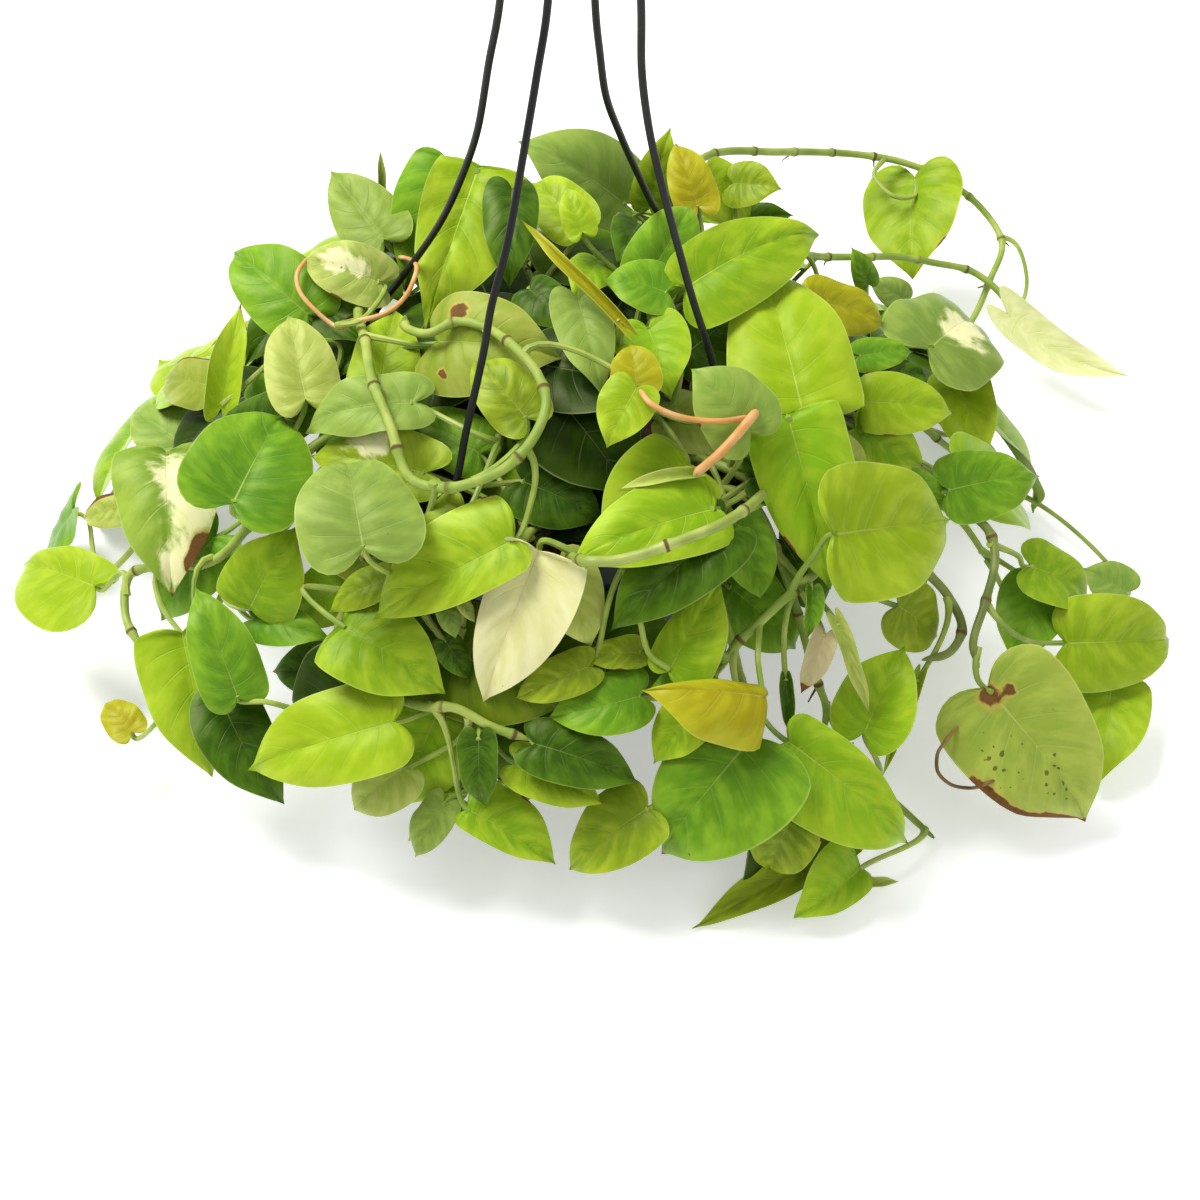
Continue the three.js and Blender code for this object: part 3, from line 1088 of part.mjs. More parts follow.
function buildHanger() {
  for (const strand of STRANDS) {
    const clip = clipSolid(strand.azimuth);
    const strandTube = (radius) => tube(strandCurve(strand), radius, STRAND_SIDES, STRAND_STEPS);
    remember(clip.add(strandTube(STRAND_RADIUS + 2 * GUARD)), strand.name, "strand");
    addMesh(strand.name, clip.add(strandTube(STRAND_RADIUS)), BLACK_PLASTIC);
  }
  addMesh("hanger_hook", hookSolid(), BLACK_PLASTIC);
}

buildHanger();
keepClearOfPot(false);
for (const stem of SEEN_STEMS) plantStem(stem, true);
for (let i = 0; i < RADIAL_STEMS; i++) plantStem(radialStem(i), false);
for (let i = 0; i < CROWN_STEMS; i++) plantStem(crownStem(i), false);
keepClearOfPot(true);

const middles = [];
const covered = new Set();
function keepNote(leaf) {
  middles.push(leafMiddle(leaf));
  for (const cell of cellsOf(leaf)) covered.add(cell);
}

for (const leaf of SEEN_LEAVES) {
  const planted = plantLeaf(leaf);
  if (planted) keepNote(planted);
}
let under = 0;
for (const share of UNDER_FILL.shares) {
  for (let i = 0; i < UNDER_FILL.tries && under < UNDER_FILL.most; i++) {
    const leaf = underLeaf(i);
    const cells = [...cellsOf(leaf)];
    if (cells.filter((cell) => !covered.has(cell)).length < share * cells.length) continue;
    const planted = plantLeaf(leaf);
    if (!planted) continue;
    keepNote(planted);
    under += 1;
  }
}
let filled = 0;
for (let i = 0; i < ROUND_FILL.tries && filled < ROUND_FILL.most; i++) {
  const leaf = roundLeaf(i);
  const at = leafMiddle(leaf);
  const clear = middles.every((other) => other.distanceTo(at) > ROUND_FILL.apart);
  const room = at.y > ROUND_FILL.nearest && clear && !hidesGround(at);
  const planted = room && plantLeaf(leaf);
  if (!planted) continue;
  keepNote(planted);
  filled += 1;
}

addMesh("pot", potSolid(), POT_PLASTIC);
addMesh("soil", soilSolid(holes), PEAT);
for (const vine of vines) addMesh(vine.name, fused(vine.pieces), FOLIAGE);

export default part;
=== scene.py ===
"""A heartleaf philodendron with lime leaves, in its hanging pot, standing with its hanger held up."""

import math

import bpy
import numpy as np
from mathutils.bvhtree import BVHTree
from mathutils.kdtree import KDTree
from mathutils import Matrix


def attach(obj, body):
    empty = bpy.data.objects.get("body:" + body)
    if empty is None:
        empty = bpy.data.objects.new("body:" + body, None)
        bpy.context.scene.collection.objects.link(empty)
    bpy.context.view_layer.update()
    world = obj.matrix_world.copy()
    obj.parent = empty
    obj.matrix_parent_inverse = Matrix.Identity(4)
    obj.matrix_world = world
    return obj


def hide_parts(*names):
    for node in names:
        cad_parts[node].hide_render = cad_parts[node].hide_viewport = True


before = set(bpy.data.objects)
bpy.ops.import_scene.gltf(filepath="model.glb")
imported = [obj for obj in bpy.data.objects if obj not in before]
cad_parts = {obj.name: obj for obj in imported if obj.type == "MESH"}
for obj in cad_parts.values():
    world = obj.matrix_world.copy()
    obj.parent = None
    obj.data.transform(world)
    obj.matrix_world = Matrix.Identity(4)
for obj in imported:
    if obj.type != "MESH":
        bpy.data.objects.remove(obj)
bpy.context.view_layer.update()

MM = 0.001

# Sizes of the solids, in millimetres
RIM_RADIUS = 101.5
FOOT_RADIUS = 73
POT_HEIGHT = 128
POT_WALL = 2
RIM_DROP = 11
RIM_STEP = 5.2
SOIL_TOP = 114
SOIL_CROWN = 4
STRAND_RADIUS = 1.75
STRAND_LOOK = 1.5
CLIP_WIDTH = 8
CLIP_WALL = 3
CLIP_DROP = 15
CLEARANCE = 0.3
HUB = {"x": 9, "y": 4, "low": 448, "radius": 9.5, "height": 15}
HOOK = {"wire": 2.6, "bend": 17, "shank": 16, "from": -90, "to": 205}
STEM_RADIUS = 1.9
BOLD_STEM_RADIUS = 2.3
STALK_RADIUS = 0.95
BLADE = 1.2
STEM_DEPTH_IN_SOIL = 22
MOUND = {"top": 180, "side": 255, "near": 190, "far": 270, "floor": 6, "beyond": 150}
GROUND_GAP = 1.3
BOLD_SPAN = 18
THIN_SPAN = 27
NODE_SHARES = (0.3, 0.5, 0.7)

# The picture frame in which the leaves and stems on the near side are placed, 1200 by 1200 points
VIEW = {"focal": 1680, "distance": 730, "look_down": 40.5, "pitch": 47.3, "yaw": 1.87, "middle": 600}

# Where the search for the mound along a line of sight starts, its steps and the halvings of the last one
SEARCH = {"from": 250, "step": 6, "halvings": 24}
CURVE_SAMPLES = 201

rad = math.radians


def vec(*numbers):
    return np.array(numbers, float)


UP = vec(0, 0, 1)


def polar(reach, turn, z=0):
    return vec(reach * math.cos(turn), reach * math.sin(turn), z)


def unit(v):
    return v / np.linalg.norm(v)


def distance(a, b):
    return float(np.linalg.norm(np.subtract(a, b)))


def lerp(a, b, share):
    return a + (b - a) * share


def smoothstep(low, high, x):
    share = np.clip((x - low) / (high - low), 0, 1)
    return share * share * (3 - 2 * share)


# The picture frame's own axes and eye
PITCH, YAW, LOOK = rad(VIEW["pitch"]), rad(VIEW["yaw"]), rad(VIEW["look_down"])
FORWARD = vec(math.sin(YAW) * math.cos(PITCH), math.cos(YAW) * math.cos(PITCH), -math.sin(PITCH))
RIGHT = vec(math.cos(YAW), -math.sin(YAW), 0)
ABOVE = np.cross(RIGHT, FORWARD)
EYE = vec(0, -math.cos(LOOK), math.sin(LOOK)) * VIEW["distance"] + vec(0, 0, POT_HEIGHT)


def sightline(spot):
    across, down = spot[0] - VIEW["middle"], spot[1] - VIEW["middle"]
    return unit(FORWARD * VIEW["focal"] + RIGHT * across - ABOVE * down)


def mound_height(x, y):
    reach = MOUND["near"] if y < 0 else MOUND["far"]
    q = (x / MOUND["side"]) ** 2 + (y / reach) ** 2
    return max(MOUND["floor"], MOUND["top"] * (1 - q))


def mound_reach(azimuth, share):
    """The share of the way from the middle to the mound's foot, that way round the pot."""
    c, s = math.cos(rad(azimuth)), math.sin(rad(azimuth))
    foot = MOUND["near"] if s < 0 else MOUND["far"]
    return share / math.hypot(c / MOUND["side"], s / foot)


def on_mound(spot, lift):
    """The point of the mound, raised by lift, that a picture point shows, or the nearest past its crest."""
    ray = sightline(spot)

    def above(t):
        p = EYE + ray * t
        return p[2] - mound_height(p[0], p[1]) - lift

    near = SEARCH["from"]
    while above(near + SEARCH["step"]) > 0:
        near += SEARCH["step"]
    far = near + SEARCH["step"]
    for _ in range(SEARCH["halvings"]):
        middle = (near + far) / 2
        if above(middle) > 0:
            near = middle
        else:
            far = middle
    found = EYE + ray * near
    if found[1] < MOUND["beyond"] or found[2] > MOUND["floor"] + lift + 1:
        return found
    bulge = MOUND["top"] * ((ray[0] / MOUND["side"]) ** 2 + (ray[1] / MOUND["far"]) ** 2)
    pull = MOUND["top"] * EYE[1] * ray[1] / MOUND["far"] ** 2
    return EYE + ray * (-(ray[2] + 2 * pull) / (2 * bulge))


def at_height(spot, z):
    ray = sightline(spot)
    return EYE + ray * ((z - EYE[2]) / ray[2])


def in_plane(spot, azimuth):
    """The point that a picture point shows in the upright plane through the middle, that way round."""
    ray = sightline(spot)
    across = vec(-math.sin(rad(azimuth)), math.cos(rad(azimuth)), 0)
    return EYE + ray * (-(EYE @ across) / (ray @ across))


def seeded(seed):
    """Draws from 0 to 1, the same on each run."""
    state = seed & 0xFFFFFFFF

    def draw():
        nonlocal state
        state = (state * 1664525 + 1013904223) & 0xFFFFFFFF
        return state / 4294967296

    return draw


def between(draw, low, high):
    return low + (high - low) * draw()


# Curves: each is a function from shares between 0 and 1 to points


def smooth(points):
    """A centripetal curve through the points."""
    p = np.array(points, float)
    p = np.vstack([2 * p[0] - p[1], p, 2 * p[-1] - p[-2]])
    gap = np.sqrt(np.linalg.norm(np.diff(p, axis=0), axis=1))[:, None]
    d0, d1, d2 = gap[:-2], gap[1:-1], gap[2:]
    a, b, c, d = p[:-3], p[1:-2], p[2:-1], p[3:]
    start = ((b - a) / d0 - (c - a) / (d0 + d1) + (c - b) / d1) * d1
    stop = ((c - b) / d1 - (d - b) / (d1 + d2) + (d - c) / d2) * d1
    squares = -3 * b + 3 * c - 2 * start - stop
    cubes = 2 * b - 2 * c + start + stop

    def at(t):
        place = np.asarray(t) * len(b)
        k = np.minimum(place.astype(int), len(b) - 1)
        w = (place - k)[:, None]
        return b[k] + w * (start[k] + w * (squares[k] + w * cubes[k]))

    return at


def bezier(a, b, c, d):
    def at(t):
        t = np.asarray(t)[:, None]
        s = 1 - t
        return s**3 * a + 3 * s * s * t * b + 3 * s * t * t * c + t**3 * d

    return at


def way_along(points):
    """How far along a line of points each of them lies."""
    return np.concatenate([[0], np.cumsum(np.linalg.norm(np.diff(points, axis=0), axis=1))])


def spaced(curve, count):
    """count + 1 points at even distances along a curve, and the curve's length."""
    t = np.linspace(0, 1, CURVE_SAMPLES)
    way = way_along(curve(t))
    shares = np.interp(np.linspace(0, way[-1], count + 1), way, t)
    return curve(shares), way[-1]


# Leaves as the solids have them

# A leaf's length for its width, at most and at least, and its width for its length, at least
SLENDER = 1.5
STOUT = 1.05
NARROWEST = 0.55
SLANT = 1.12
FACING_EYE = 0.65
ROLLED_WIDTH = 5
FLAT = {"arch": 0.35, "fold": 0.22, "cup": 0.16, "sway": 0, "roll": 0, "lobes": 1, "lean": 0}
PLACED_SHAPE = {"arch": (0.25, 0.6), "fold": (0.15, 0.35), "cup": (0.1, 0.25), "sway": (-0.15, 0.15)}
LOBE, BELLY, TAPER = (0.27, -0.145), (0.49, 0.14), (0.33, 0.62)


def lay_on_ground(points, softness=4):
    """Lifts what lies lower than the ground gap, with a soft bend."""
    over = points[..., 2] - GROUND_GAP
    points[..., 2] = GROUND_GAP + (over + np.sqrt(over * over + softness)) / 2
    return points


def blade_spots(leaf, x, y):
    """Points of a blade's middle surface, at x across and y along from the notch."""
    x, y = np.asarray(x, float), np.asarray(y, float)
    v = y / leaf["length"]
    half = leaf["width"] / 2
    across = x
    rise = leaf["fold"] * (np.sqrt(x * x + 4) - 2) - leaf["cup"] * x * x / half
    if leaf["roll"]:
        turn = leaf["roll"] * x / half
        across = half * np.sin(turn) / leaf["roll"]
        rise = half * (1 - np.cos(turn)) / abs(leaf["roll"])
    rise = rise + leaf["arch"] * leaf["length"] * v * (1 - v)
    across = across + leaf["sway"] * leaf["length"] * v * (1 - v)
    points = (
        leaf["base"]
        + across[..., None] * leaf["side"]
        + y[..., None] * leaf["axis"]
        + rise[..., None] * leaf["normal"]
    )
    return lay_on_ground(points)


def plan_spot(leaf, spot, side):
    """A point of the faceted blade's outline, at its place across and along, on one side."""
    x, y = spot
    across = side * x * leaf["width"] * (1 + side * leaf["lean"])
    return across, y * (leaf["lobes"] if y < 0 else 1) * leaf["length"]


def fit_length(base, end, across):
    """Slides an end of a leaf along its line of sight until the leaf's length suits its width."""
    near, far = (base, end) if distance(base, EYE) < distance(end, EYE) else (end, base)
    width = across * distance(near, EYE) / VIEW["focal"]

    def slide(moving, fixed, least, most, away):
        ray = unit(moving - EYE)
        middle = (fixed - EYE) @ ray
        apart = distance(fixed, EYE + ray * middle)
        length = max(least(apart), min(most(apart), distance(moving, fixed)))
        return EYE + ray * (middle + away * math.sqrt(max(0, length**2 - apart**2)))

    def longest(apart):
        return max(SLENDER * width, SLANT * apart)

    if distance(near, far) > longest(distance(near, far) * 0.6):
        far[:] = slide(far, near, lambda apart: 0, longest, 1)
    if distance(near, far) < STOUT * width:
        near[:] = slide(near, far, lambda apart: STOUT * width, lambda apart: math.inf, -1)


def seen(kind, notch, tip, across, lift, **extra):
    """A leaf by its notch, tip and width in the picture frame and its lifts above the mound."""
    place = at_height if extra.get("high") else on_mound
    base, end = place(notch, lift[0]), place(tip, lift[1])
    fit_length(base, end, across)
    middle = lerp(base, end, 0.4)
    length = distance(base, end)
    axis = (end - base) / length
    to_eye = EYE - middle
    scale = VIEW["focal"] / np.linalg.norm(to_eye)
    to_eye = unit(to_eye)
    facing = to_eye * FACING_EYE + UP * (1 - FACING_EYE)
    normal = unit(facing - axis * (facing @ axis))
    side = np.cross(axis, normal)
    shown = np.linalg.norm(side - to_eye * (side @ to_eye))
    least = ROLLED_WIDTH if extra.get("roll") else NARROWEST * length
    width = max(least, min(length / STOUT, across / (scale * shown)))
    shape = {"kind": kind, "base": base, "axis": axis, "side": side, "normal": normal}
    return {**FLAT, **extra, **shape, "length": length, "width": width}


def placed(kind, azimuth, reach, lift, turn, length, draw):
    """A leaf set on the mound by its place round the pot."""
    c, s = math.cos(rad(azimuth)), math.sin(rad(azimuth))
    x, y, step = c * reach, s * reach, 4
    rise = mound_height(x + c * step, y + s * step) - mound_height(x - c * step, y - s * step)
    outward = unit(vec(c, s, rise / (2 * step)))
    sideways = vec(-s, c, 0)
    normal = np.cross(outward, sideways)
    if normal[2] < 0:
        normal = -normal
    axis = outward * math.cos(rad(turn)) + sideways * math.sin(rad(turn))
    axis = unit(axis + normal * between(draw, -0.2, 0.15))
    normal = normal + sideways * between(draw, -0.25, 0.25)
    normal = unit(normal - axis * (normal @ axis))
    side = np.cross(axis, normal)
    base = vec(x, y, mound_height(x, y) + lift) - axis * (0.4 * length)
    base[2] = max(base[2], MOUND["floor"])
    shape = {what: between(draw, *limits) for what, limits in PLACED_SHAPE.items()}
    shape.update(kind=kind, base=base, axis=axis, side=side, normal=normal, length=length)
    return {**FLAT, **shape, "width": length * between(draw, 0.76, 0.92)}


# Leaves seen from the near side, from left to right and from the top down. Those of the darkest kind are
# partly darkened as painted shade, where they lie in the gaps.
SEEN_LEAVES = [
    # Left edge, from the ground up
    seen("lime", [95, 586], [19, 560], 86, [10, 2], arch=0.2, lean=-0.35, via=[[124, 573, 8]]),
    seen("pale", [128, 508], [80, 519], 36, [2, 0], marks=[("edge", 1, 0.45, 0.9, 0.4)]),
    seen(
        "variegated", [166, 452], [172, 598], 100, [14, 4], cup=0.3, lobes=0.4,
        marks=[
            ("pale", -0.1, 0.2, 0.32), ("pale", -0.2, 0.5, 0.3), ("pale", -0.12, 0.8, 0.32),
            ("edge", -1, 0.38, 0.56, 0.6), ("edge", -1, 0.7, 0.86, 0.55),
        ],
    ),
    seen("green", [232, 503], [286, 410], 122, [4, 2]),
    seen("green", [238, 698], [194, 583], 64, [16, 18], lobes=0.6, via=[[268, 702, 8]]),
    seen("lime", [182, 634], [213, 782], 84, [4, 2], arch=0.3, lobes=0.3, lean=0.15),
    seen("deep", [222, 700], [287, 807], 74, [2, 1], sway=0.2),
    seen("gold", [131, 732], [104, 699], 38, [4, 2], via=[[160, 718, 3]]),
    seen("limegreen", [250, 608], [296, 525], 84, [2, 4], lobes=0.4),
    seen("green", [254, 618], [330, 636], 44, [-6, -8]),
    seen("greygreen", [363, 548], [345, 452], 126, [18, 12], arch=0.45, cup=0.25),
    seen("olive", [424, 470], [304, 452], 62, [-4, -6], marks=[("pale", 0.3, 0.5, 0.34)]),
    seen("lime", [514, 540], [370, 620], 92, [20, 12], arch=0.3, lobes=0.4, lean=0.2),
    seen(
        "cream", [538, 551], [481, 706], 86, [16, 8], arch=0.25, lobes=0.15, lean=-0.24,
        via=[[543, 541, 16]],
    ),
    seen(
        "limegreen", [342, 626], [448, 694], 94, [6, 6], arch=0.4, lobes=0.3,
        via=[[322, 612, 6], [303, 588, 2]],
    ),
    seen("olive", [386, 578], [326, 612], 42, [0, -4]),
    seen("lime", [394, 722], [242, 770], 98, [16, 14], arch=0.3, lobes=0.6),
    seen("limegreen", [432, 718], [388, 822], 104, [6, 2], marks=[("brown", 0.24, 0.69, 0.07)]),
    seen("pale", [404, 768], [350, 812], 66, [2, 2]),
    seen("greygreen", [444, 804], [413, 860], 40, [3, 2]),
    seen("limegreen", [452, 802], [402, 842], 34, [-2, 0]),
    seen("limegreen", [468, 810], [561, 866], 58, [8, 3], lobes=0.5, lean=-0.35),
    seen("olive", [648, 808], [564, 872], 78, [8, 3], lobes=0.5),
    seen(
        "green", [750, 738], [653, 861], 138, [28, 10], arch=0.4, cup=0.2, lobes=0.6, lean=-0.2,
        marks=[("speck", -0.1, 0.93, 0.14), ("speck", -0.2, 0.86, 0.12)],
    ),
    seen(
        "limegreen", [788, 741], [917, 847], 72, [22, 6], arch=0.35, lobes=0.4, lean=0.25,
        marks=[("tip", 0.04)],
    ),
    seen("olive", [792, 818], [766, 875], 74, [6, 2]),
    seen("olive", [838, 843], [690, 928], 46, [16, 2], roll=0.8, arch=0.15),
    seen("limegreen", [860, 871], [793, 922], 62, [8, 4], fold=0.5, lobes=0.5, lean=0.3),
    seen("pale", [860, 883], [901, 880], 13, [8, 8], roll=1.4),
    seen(
        "gold", [766, 697], [641, 689], 54, [36, 34], cup=0.35, lobes=0.2, lean=-0.6,
        via=[[758, 655, 26]],
    ),
    seen(
        "limegreen", [668, 672], [722, 578], 68, [14, 10], lobes=0.4, lean=0.2,
        via=[[651, 652, 14], [637, 610, 16]],
    ),
    seen("green", [712, 673], [645, 690], 30, [8, 8]),
    seen("limegreen", [700, 706], [652, 765], 56, [10, 8]),
    seen("green", [640, 696], [546, 717], 66, [8, 6], sway=-0.15),
    seen("olive", [640, 652], [580, 660], 34, [0, 2]),
    seen("deep", [724, 540], [612, 640], 86, [-4, -8]),
    seen("green", [738, 524], [764, 602], 58, [-2, -6]),
    seen("lime", [689, 464], [598, 552], 100, [4, 4], lobes=0.4),
    seen("pale", [693, 474], [618, 489], 17, [16, 14], roll=1.6, via=[[716, 456, 20], [746, 419, 18]]),
    seen("limegreen", [712, 517], [562, 574], 66, [4, 8], lobes=0.4),
    seen("limegreen", [462, 462], [603, 452], 124, [-46, -14], arch=0.4, lobes=0.5),
    seen(
        "spotted", [438, 342], [565, 356], 106, [-2, -4], arch=0.4,
        marks=[("brown", -0.28, 0.15, 0.13), ("brown", 0.3, 0.1, 0.07)],
    ),
    seen("lime", [470, 345], [504, 388], 58, [-10, -10]),
    seen("lime", [478, 166], [424, 331], 90, [183, 158], high=True, arch=0.22, lobes=0.2, lean=-0.22),
    seen("green", [450, 164], [404, 290], 80, [172, 144], high=True, lobes=0.3),
    seen("greygreen", [384, 240], [328, 167], 70, [10, 22], arch=-0.2),
    seen("pale", [383, 194], [380, 150], 9, [10, 34], roll=1.5),
    seen(
        "pale", [384, 288], [304, 264], 56, [2, 8], arch=0.6, via=[[360, 321, 10], [336, 325, 12]],
        marks=[("pale", 0.1, 0.5, 0.3), ("pale", 0.12, 0.25, 0.24), ("speck", 0.1, 0.5, 0.2)],
    ),
    seen("deep", [346, 246], [402, 292], 46, [0, -4]),
    seen("deep", [306, 290], [243, 366], 32, [2, -4]),
    seen("deep", [308, 302], [366, 342], 60, [-6, -10]),
    seen(
        "lime", [221, 408], [241, 302], 40, [10, 34], roll=1.2, arch=0.15,
        via=[[300, 344, 6], [340, 346, -8]], marks=[("tip", 0.12)],
    ),
    seen("spotted", [209, 386], [161, 380], 56, [8, 6], marks=[("edge", 1, 0.35, 0.92, 0.16)]),
    seen("green", [255, 402], [286, 370], 34, [-4, -2]),
    seen("deep", [224, 430], [328, 381], 28, [14, 12], arch=0.15),
    seen("greygreen", [414, 402], [299, 431], 32, [0, 4], arch=0.5),
    # Right of the middle, from the top down
    seen(
        "lime", [915, 181], [910, 280], 98, [66, 22], high=True, arch=0.2,
        via=[[912, 197, 66], [893, 196, 70], [874, 175, 76]],
    ),
    seen(
        "cream", [1008, 314], [1128, 374], 44, [36, 34], roll=0.9, high=True, arch=-0.25, sway=0.3,
        via=[[1024, 300, 36], [1026, 272, 42], [1014, 242, 46]],
    ),
    seen(
        "greygreen", [928, 349], [970, 331], 118, [14, 16], arch=0.7, cup=0.3, via=[[946, 312, 20]],
        marks=[("pale", 0.05, 0.35, 0.3)],
    ),
    seen("pale", [966, 350], [994, 368], 26, [4, 2], marks=[("tip", 0.16)]),
    seen("gold", [637, 389], [630, 341], 52, [10, 14], via=[[682, 419, 16], [736, 423, 12]]),
    seen("lime", [636, 392], [606, 452], 58, [14, 10]),
    seen("limegreen", [648, 328], [672, 397], 78, [2, 0]),
    seen("gold", [620, 322], [520, 217], 15, [14, 30], roll=1.9, arch=0.05),
    seen("greygreen", [578, 300], [603, 398], 58, [0, -2]),
    seen("deep", [530, 290], [576, 330], 50, [-2, -8]),
    seen("greygreen", [626, 204], [519, 139], 92, [4, 14]),
    seen("lime", [576, 226], [530, 180], 58, [2, 4]),
    seen("lime", [582, 232], [566, 186], 34, [12, 16]),
    seen("lime", [650, 206], [670, 127], 42, [6, 26]),
    seen("gold", [698, 212], [675, 145], 46, [12, 22]),
    seen("lime", [704, 180], [754, 220], 56, [18, 10], lobes=0.6),
    seen("olive", [734, 184], [782, 188], 48, [4, 0]),
    seen("deep", [742, 222], [790, 212], 34, [2, 0]),
    seen("limegreen", [686, 286], [827, 228], 78, [14, 12], sway=-0.1, lobes=0.6, lean=0.15),
    seen("green", [666, 292], [601, 278], 62, [10, 8]),
    seen("limegreen", [604, 246], [577, 286], 46, [2, 0]),
    seen("deep", [512, 190], [509, 288], 50, [-6, -8]),
    seen("deep", [640, 222], [618, 262], 46, [6, 2]),
    seen("gold", [814, 300], [890, 324], 54, [2, 0], cup=0.3),
    seen(
        "lime", [803, 416], [762, 263], 130, [20, 16], arch=0.35, cup=0.22, lobes=0.2,
        marks=[("tip", 0.045)],
    ),
    seen("pale", [856, 472], [798, 416], 56, [4, 4]),
    seen("limegreen", [786, 414], [830, 592], 96, [14, 4], arch=0.3, lobes=0.2, lean=-0.1),
    seen("lime", [815, 547], [936, 531], 132, [20, 12], lobes=0.6, arch=0.3, via=[[803, 570, 14]]),
    seen("lime", [864, 402], [957, 412], 60, [10, 6], lobes=0.4),
    seen("limegreen", [858, 428], [930, 468], 58, [2, 0], lobes=0.5),
    seen("lime", [956, 378], [984, 470], 62, [0, -2]),
    seen("green", [948, 490], [1044, 474], 72, [12, 8], lobes=0.6),
    seen("green", [905, 480], [938, 510], 34, [-6, -6]),
    seen("green", [868, 284], [852, 247], 26, [8, 12]),
    seen("greygreen", [906, 299], [870, 279], 30, [4, 6]),
    seen("green", [860, 356], [915, 350], 34, [-6, -6]),
    seen("deep", [868, 376], [936, 372], 30, [-10, -10]),
    seen("green", [1040, 586], [1014, 668], 70, [14, 4]),
    seen("limegreen", [1032, 566], [1092, 600], 62, [26, 18], via=[[1018, 556, 26]]),
    seen("greygreen", [1126, 592], [1082, 567], 42, [14, 14]),
    seen("lime", [1062, 645], [1177, 641], 92, [30, 12], arch=0.4, lobes=0.6),
    seen("lime", [1112, 686], [1096, 787], 74, [18, 4], lobes=0.5, lean=-0.1, via=[[1066, 692, 14]]),
    seen(
        "speckled", [988, 688], [1090, 826], 136, [34, 4], lobes=0.6, arch=0.45, via=[[976, 672, 30]],
        marks=[
            ("edge", 1, 0.5, 0.97, 0.2), ("edge", 1, 0.78, 0.99, 0.34), ("tip", 0.06),
            ("speck", 0.26, 0.3, 0.2), ("speck", 0.04, 0.5, 0.16), ("speck", 0.08, 0.68, 0.14),
            ("brown", 0.03, 0.04, 0.12), ("brown", -0.1, 0.07, 0.07),
        ],
    ),
    seen("limegreen", [864, 733], [905, 645], 78, [12, 14], cup=-0.25),
    seen("pale", [836, 622], [868, 713], 18, [14, 14], roll=1.3),
    seen("green", [812, 590], [808, 638], 28, [8, 10], roll=1.5),
    seen("brownend", [824, 636], [801, 694], 32, [14, 10], roll=0.9, marks=[("tip", 0.36)]),
    seen("olive", [898, 606], [940, 638], 72, [-8, -6]),
    seen("olive", [918, 680], [882, 778], 15, [10, 3], roll=1.2),
    seen("deep", [786, 680], [790, 736], 16, [4, 2], roll=1.1),
    seen("deep", [478, 734], [484, 806], 24, [2, 2]),
    seen("lime", [520, 765], [607, 805], 38, [4, 3]),
    seen("deep", [532, 748], [638, 786], 50, [-2, -2]),
    seen("greygreen", [446, 606], [456, 640], 24, [2, 2]),
    seen("pale", [461, 600], [475, 623], 13, [6, 6]),
    seen("deep", [446, 642], [470, 680], 32, [0, 0]),
    seen("olive", [590, 668], [514, 701], 46, [4, 2]),
    seen("greygreen", [738, 440], [682, 374], 80, [-4, 0]),
]

SEEN_STEMS = [
    {
        "name": "vine_loop",
        "hole": (165, 52),
        "route": [
            (363, 312, -2), (366, 345, 6), (372, 380, 10), (390, 425, 12), (410, 478, 12), (440, 488, 14),
            (468, 484, 18), (505, 468, 22), (532, 440, 24), (546, 405, 22), (538, 375, 18), (512, 345, 12),
            (482, 326, 6), (455, 322, 6), (430, 333, 6), (407, 328, 2), (405, 316, -2),
        ],
    },
    {
        "name": "vine_near",
        "hole": (318, 48),
        "route": [
            (765, 495, -2), (745, 510, 6), (713, 528, 12), (685, 540, 14), (650, 550, 14),
            (610, 561, 14), (575, 556, 14), (545, 541, 14), (523, 533, 12),
        ],
    },
    {
        "name": "vine_low_right",
        "hole": (302, 60),
        "route": [
            (828, 548, -14), (803, 584, 4), (780, 603, 10), (757, 625, 12), (737, 643, 10), (720, 667, 6),
        ],
    },
    {
        "name": "vine_far_right",
        "high": True,
        "hole": (60, 70),
        "route": [
            (705, 157, 128), (780, 152, 108), (862, 155, 84), (905, 163, 76), (945, 180, 66), (980, 207, 56),
            (1002, 243, 46), (990, 280, 36), (975, 315, 24), (962, 335, 18),
        ],
    },
    {
        "name": "vine_upper_right",
        "high": True,
        "hole": (38, 66),
        "route": [
            (826, 257, 76), (862, 257, 68), (898, 257, 60), (935, 263, 52), (973, 272, 44), (1000, 293, 38),
            (1010, 309, 34),
        ],
    },
    {
        "name": "vine_right",
        "hole": (346, 72),
        "route": [
            (912, 462, -12), (945, 487, 6), (970, 512, 16), (990, 533, 22), (995, 560, 24), (986, 600, 26),
            (973, 645, 26), (979, 668, 28),
        ],
    },
    {
        "name": "vine_right_low",
        "hole": (332, 76),
        "route": [
            (895, 545, -8), (925, 571, 6), (948, 596, 10), (962, 628, 12), (950, 652, 12), (922, 660, 10),
        ],
    },
    {
        "name": "vine_left",
        "hole": (190, 70),
        "route": [
            (215, 560, -12), (165, 566, -2), (130, 575, 6), (125, 612, 8), (134, 636, 8), (147, 652, 5),
        ],
    },
    {
        "name": "vine_low_left",
        "hole": (236, 76),
        "route": [
            (392, 640, -14), (392, 690, -8), (420, 706, 2), (455, 708, 6), (490, 726, 6), (525, 738, 4),
            (562, 748, 2), (600, 770, 0),
        ],
    },
]

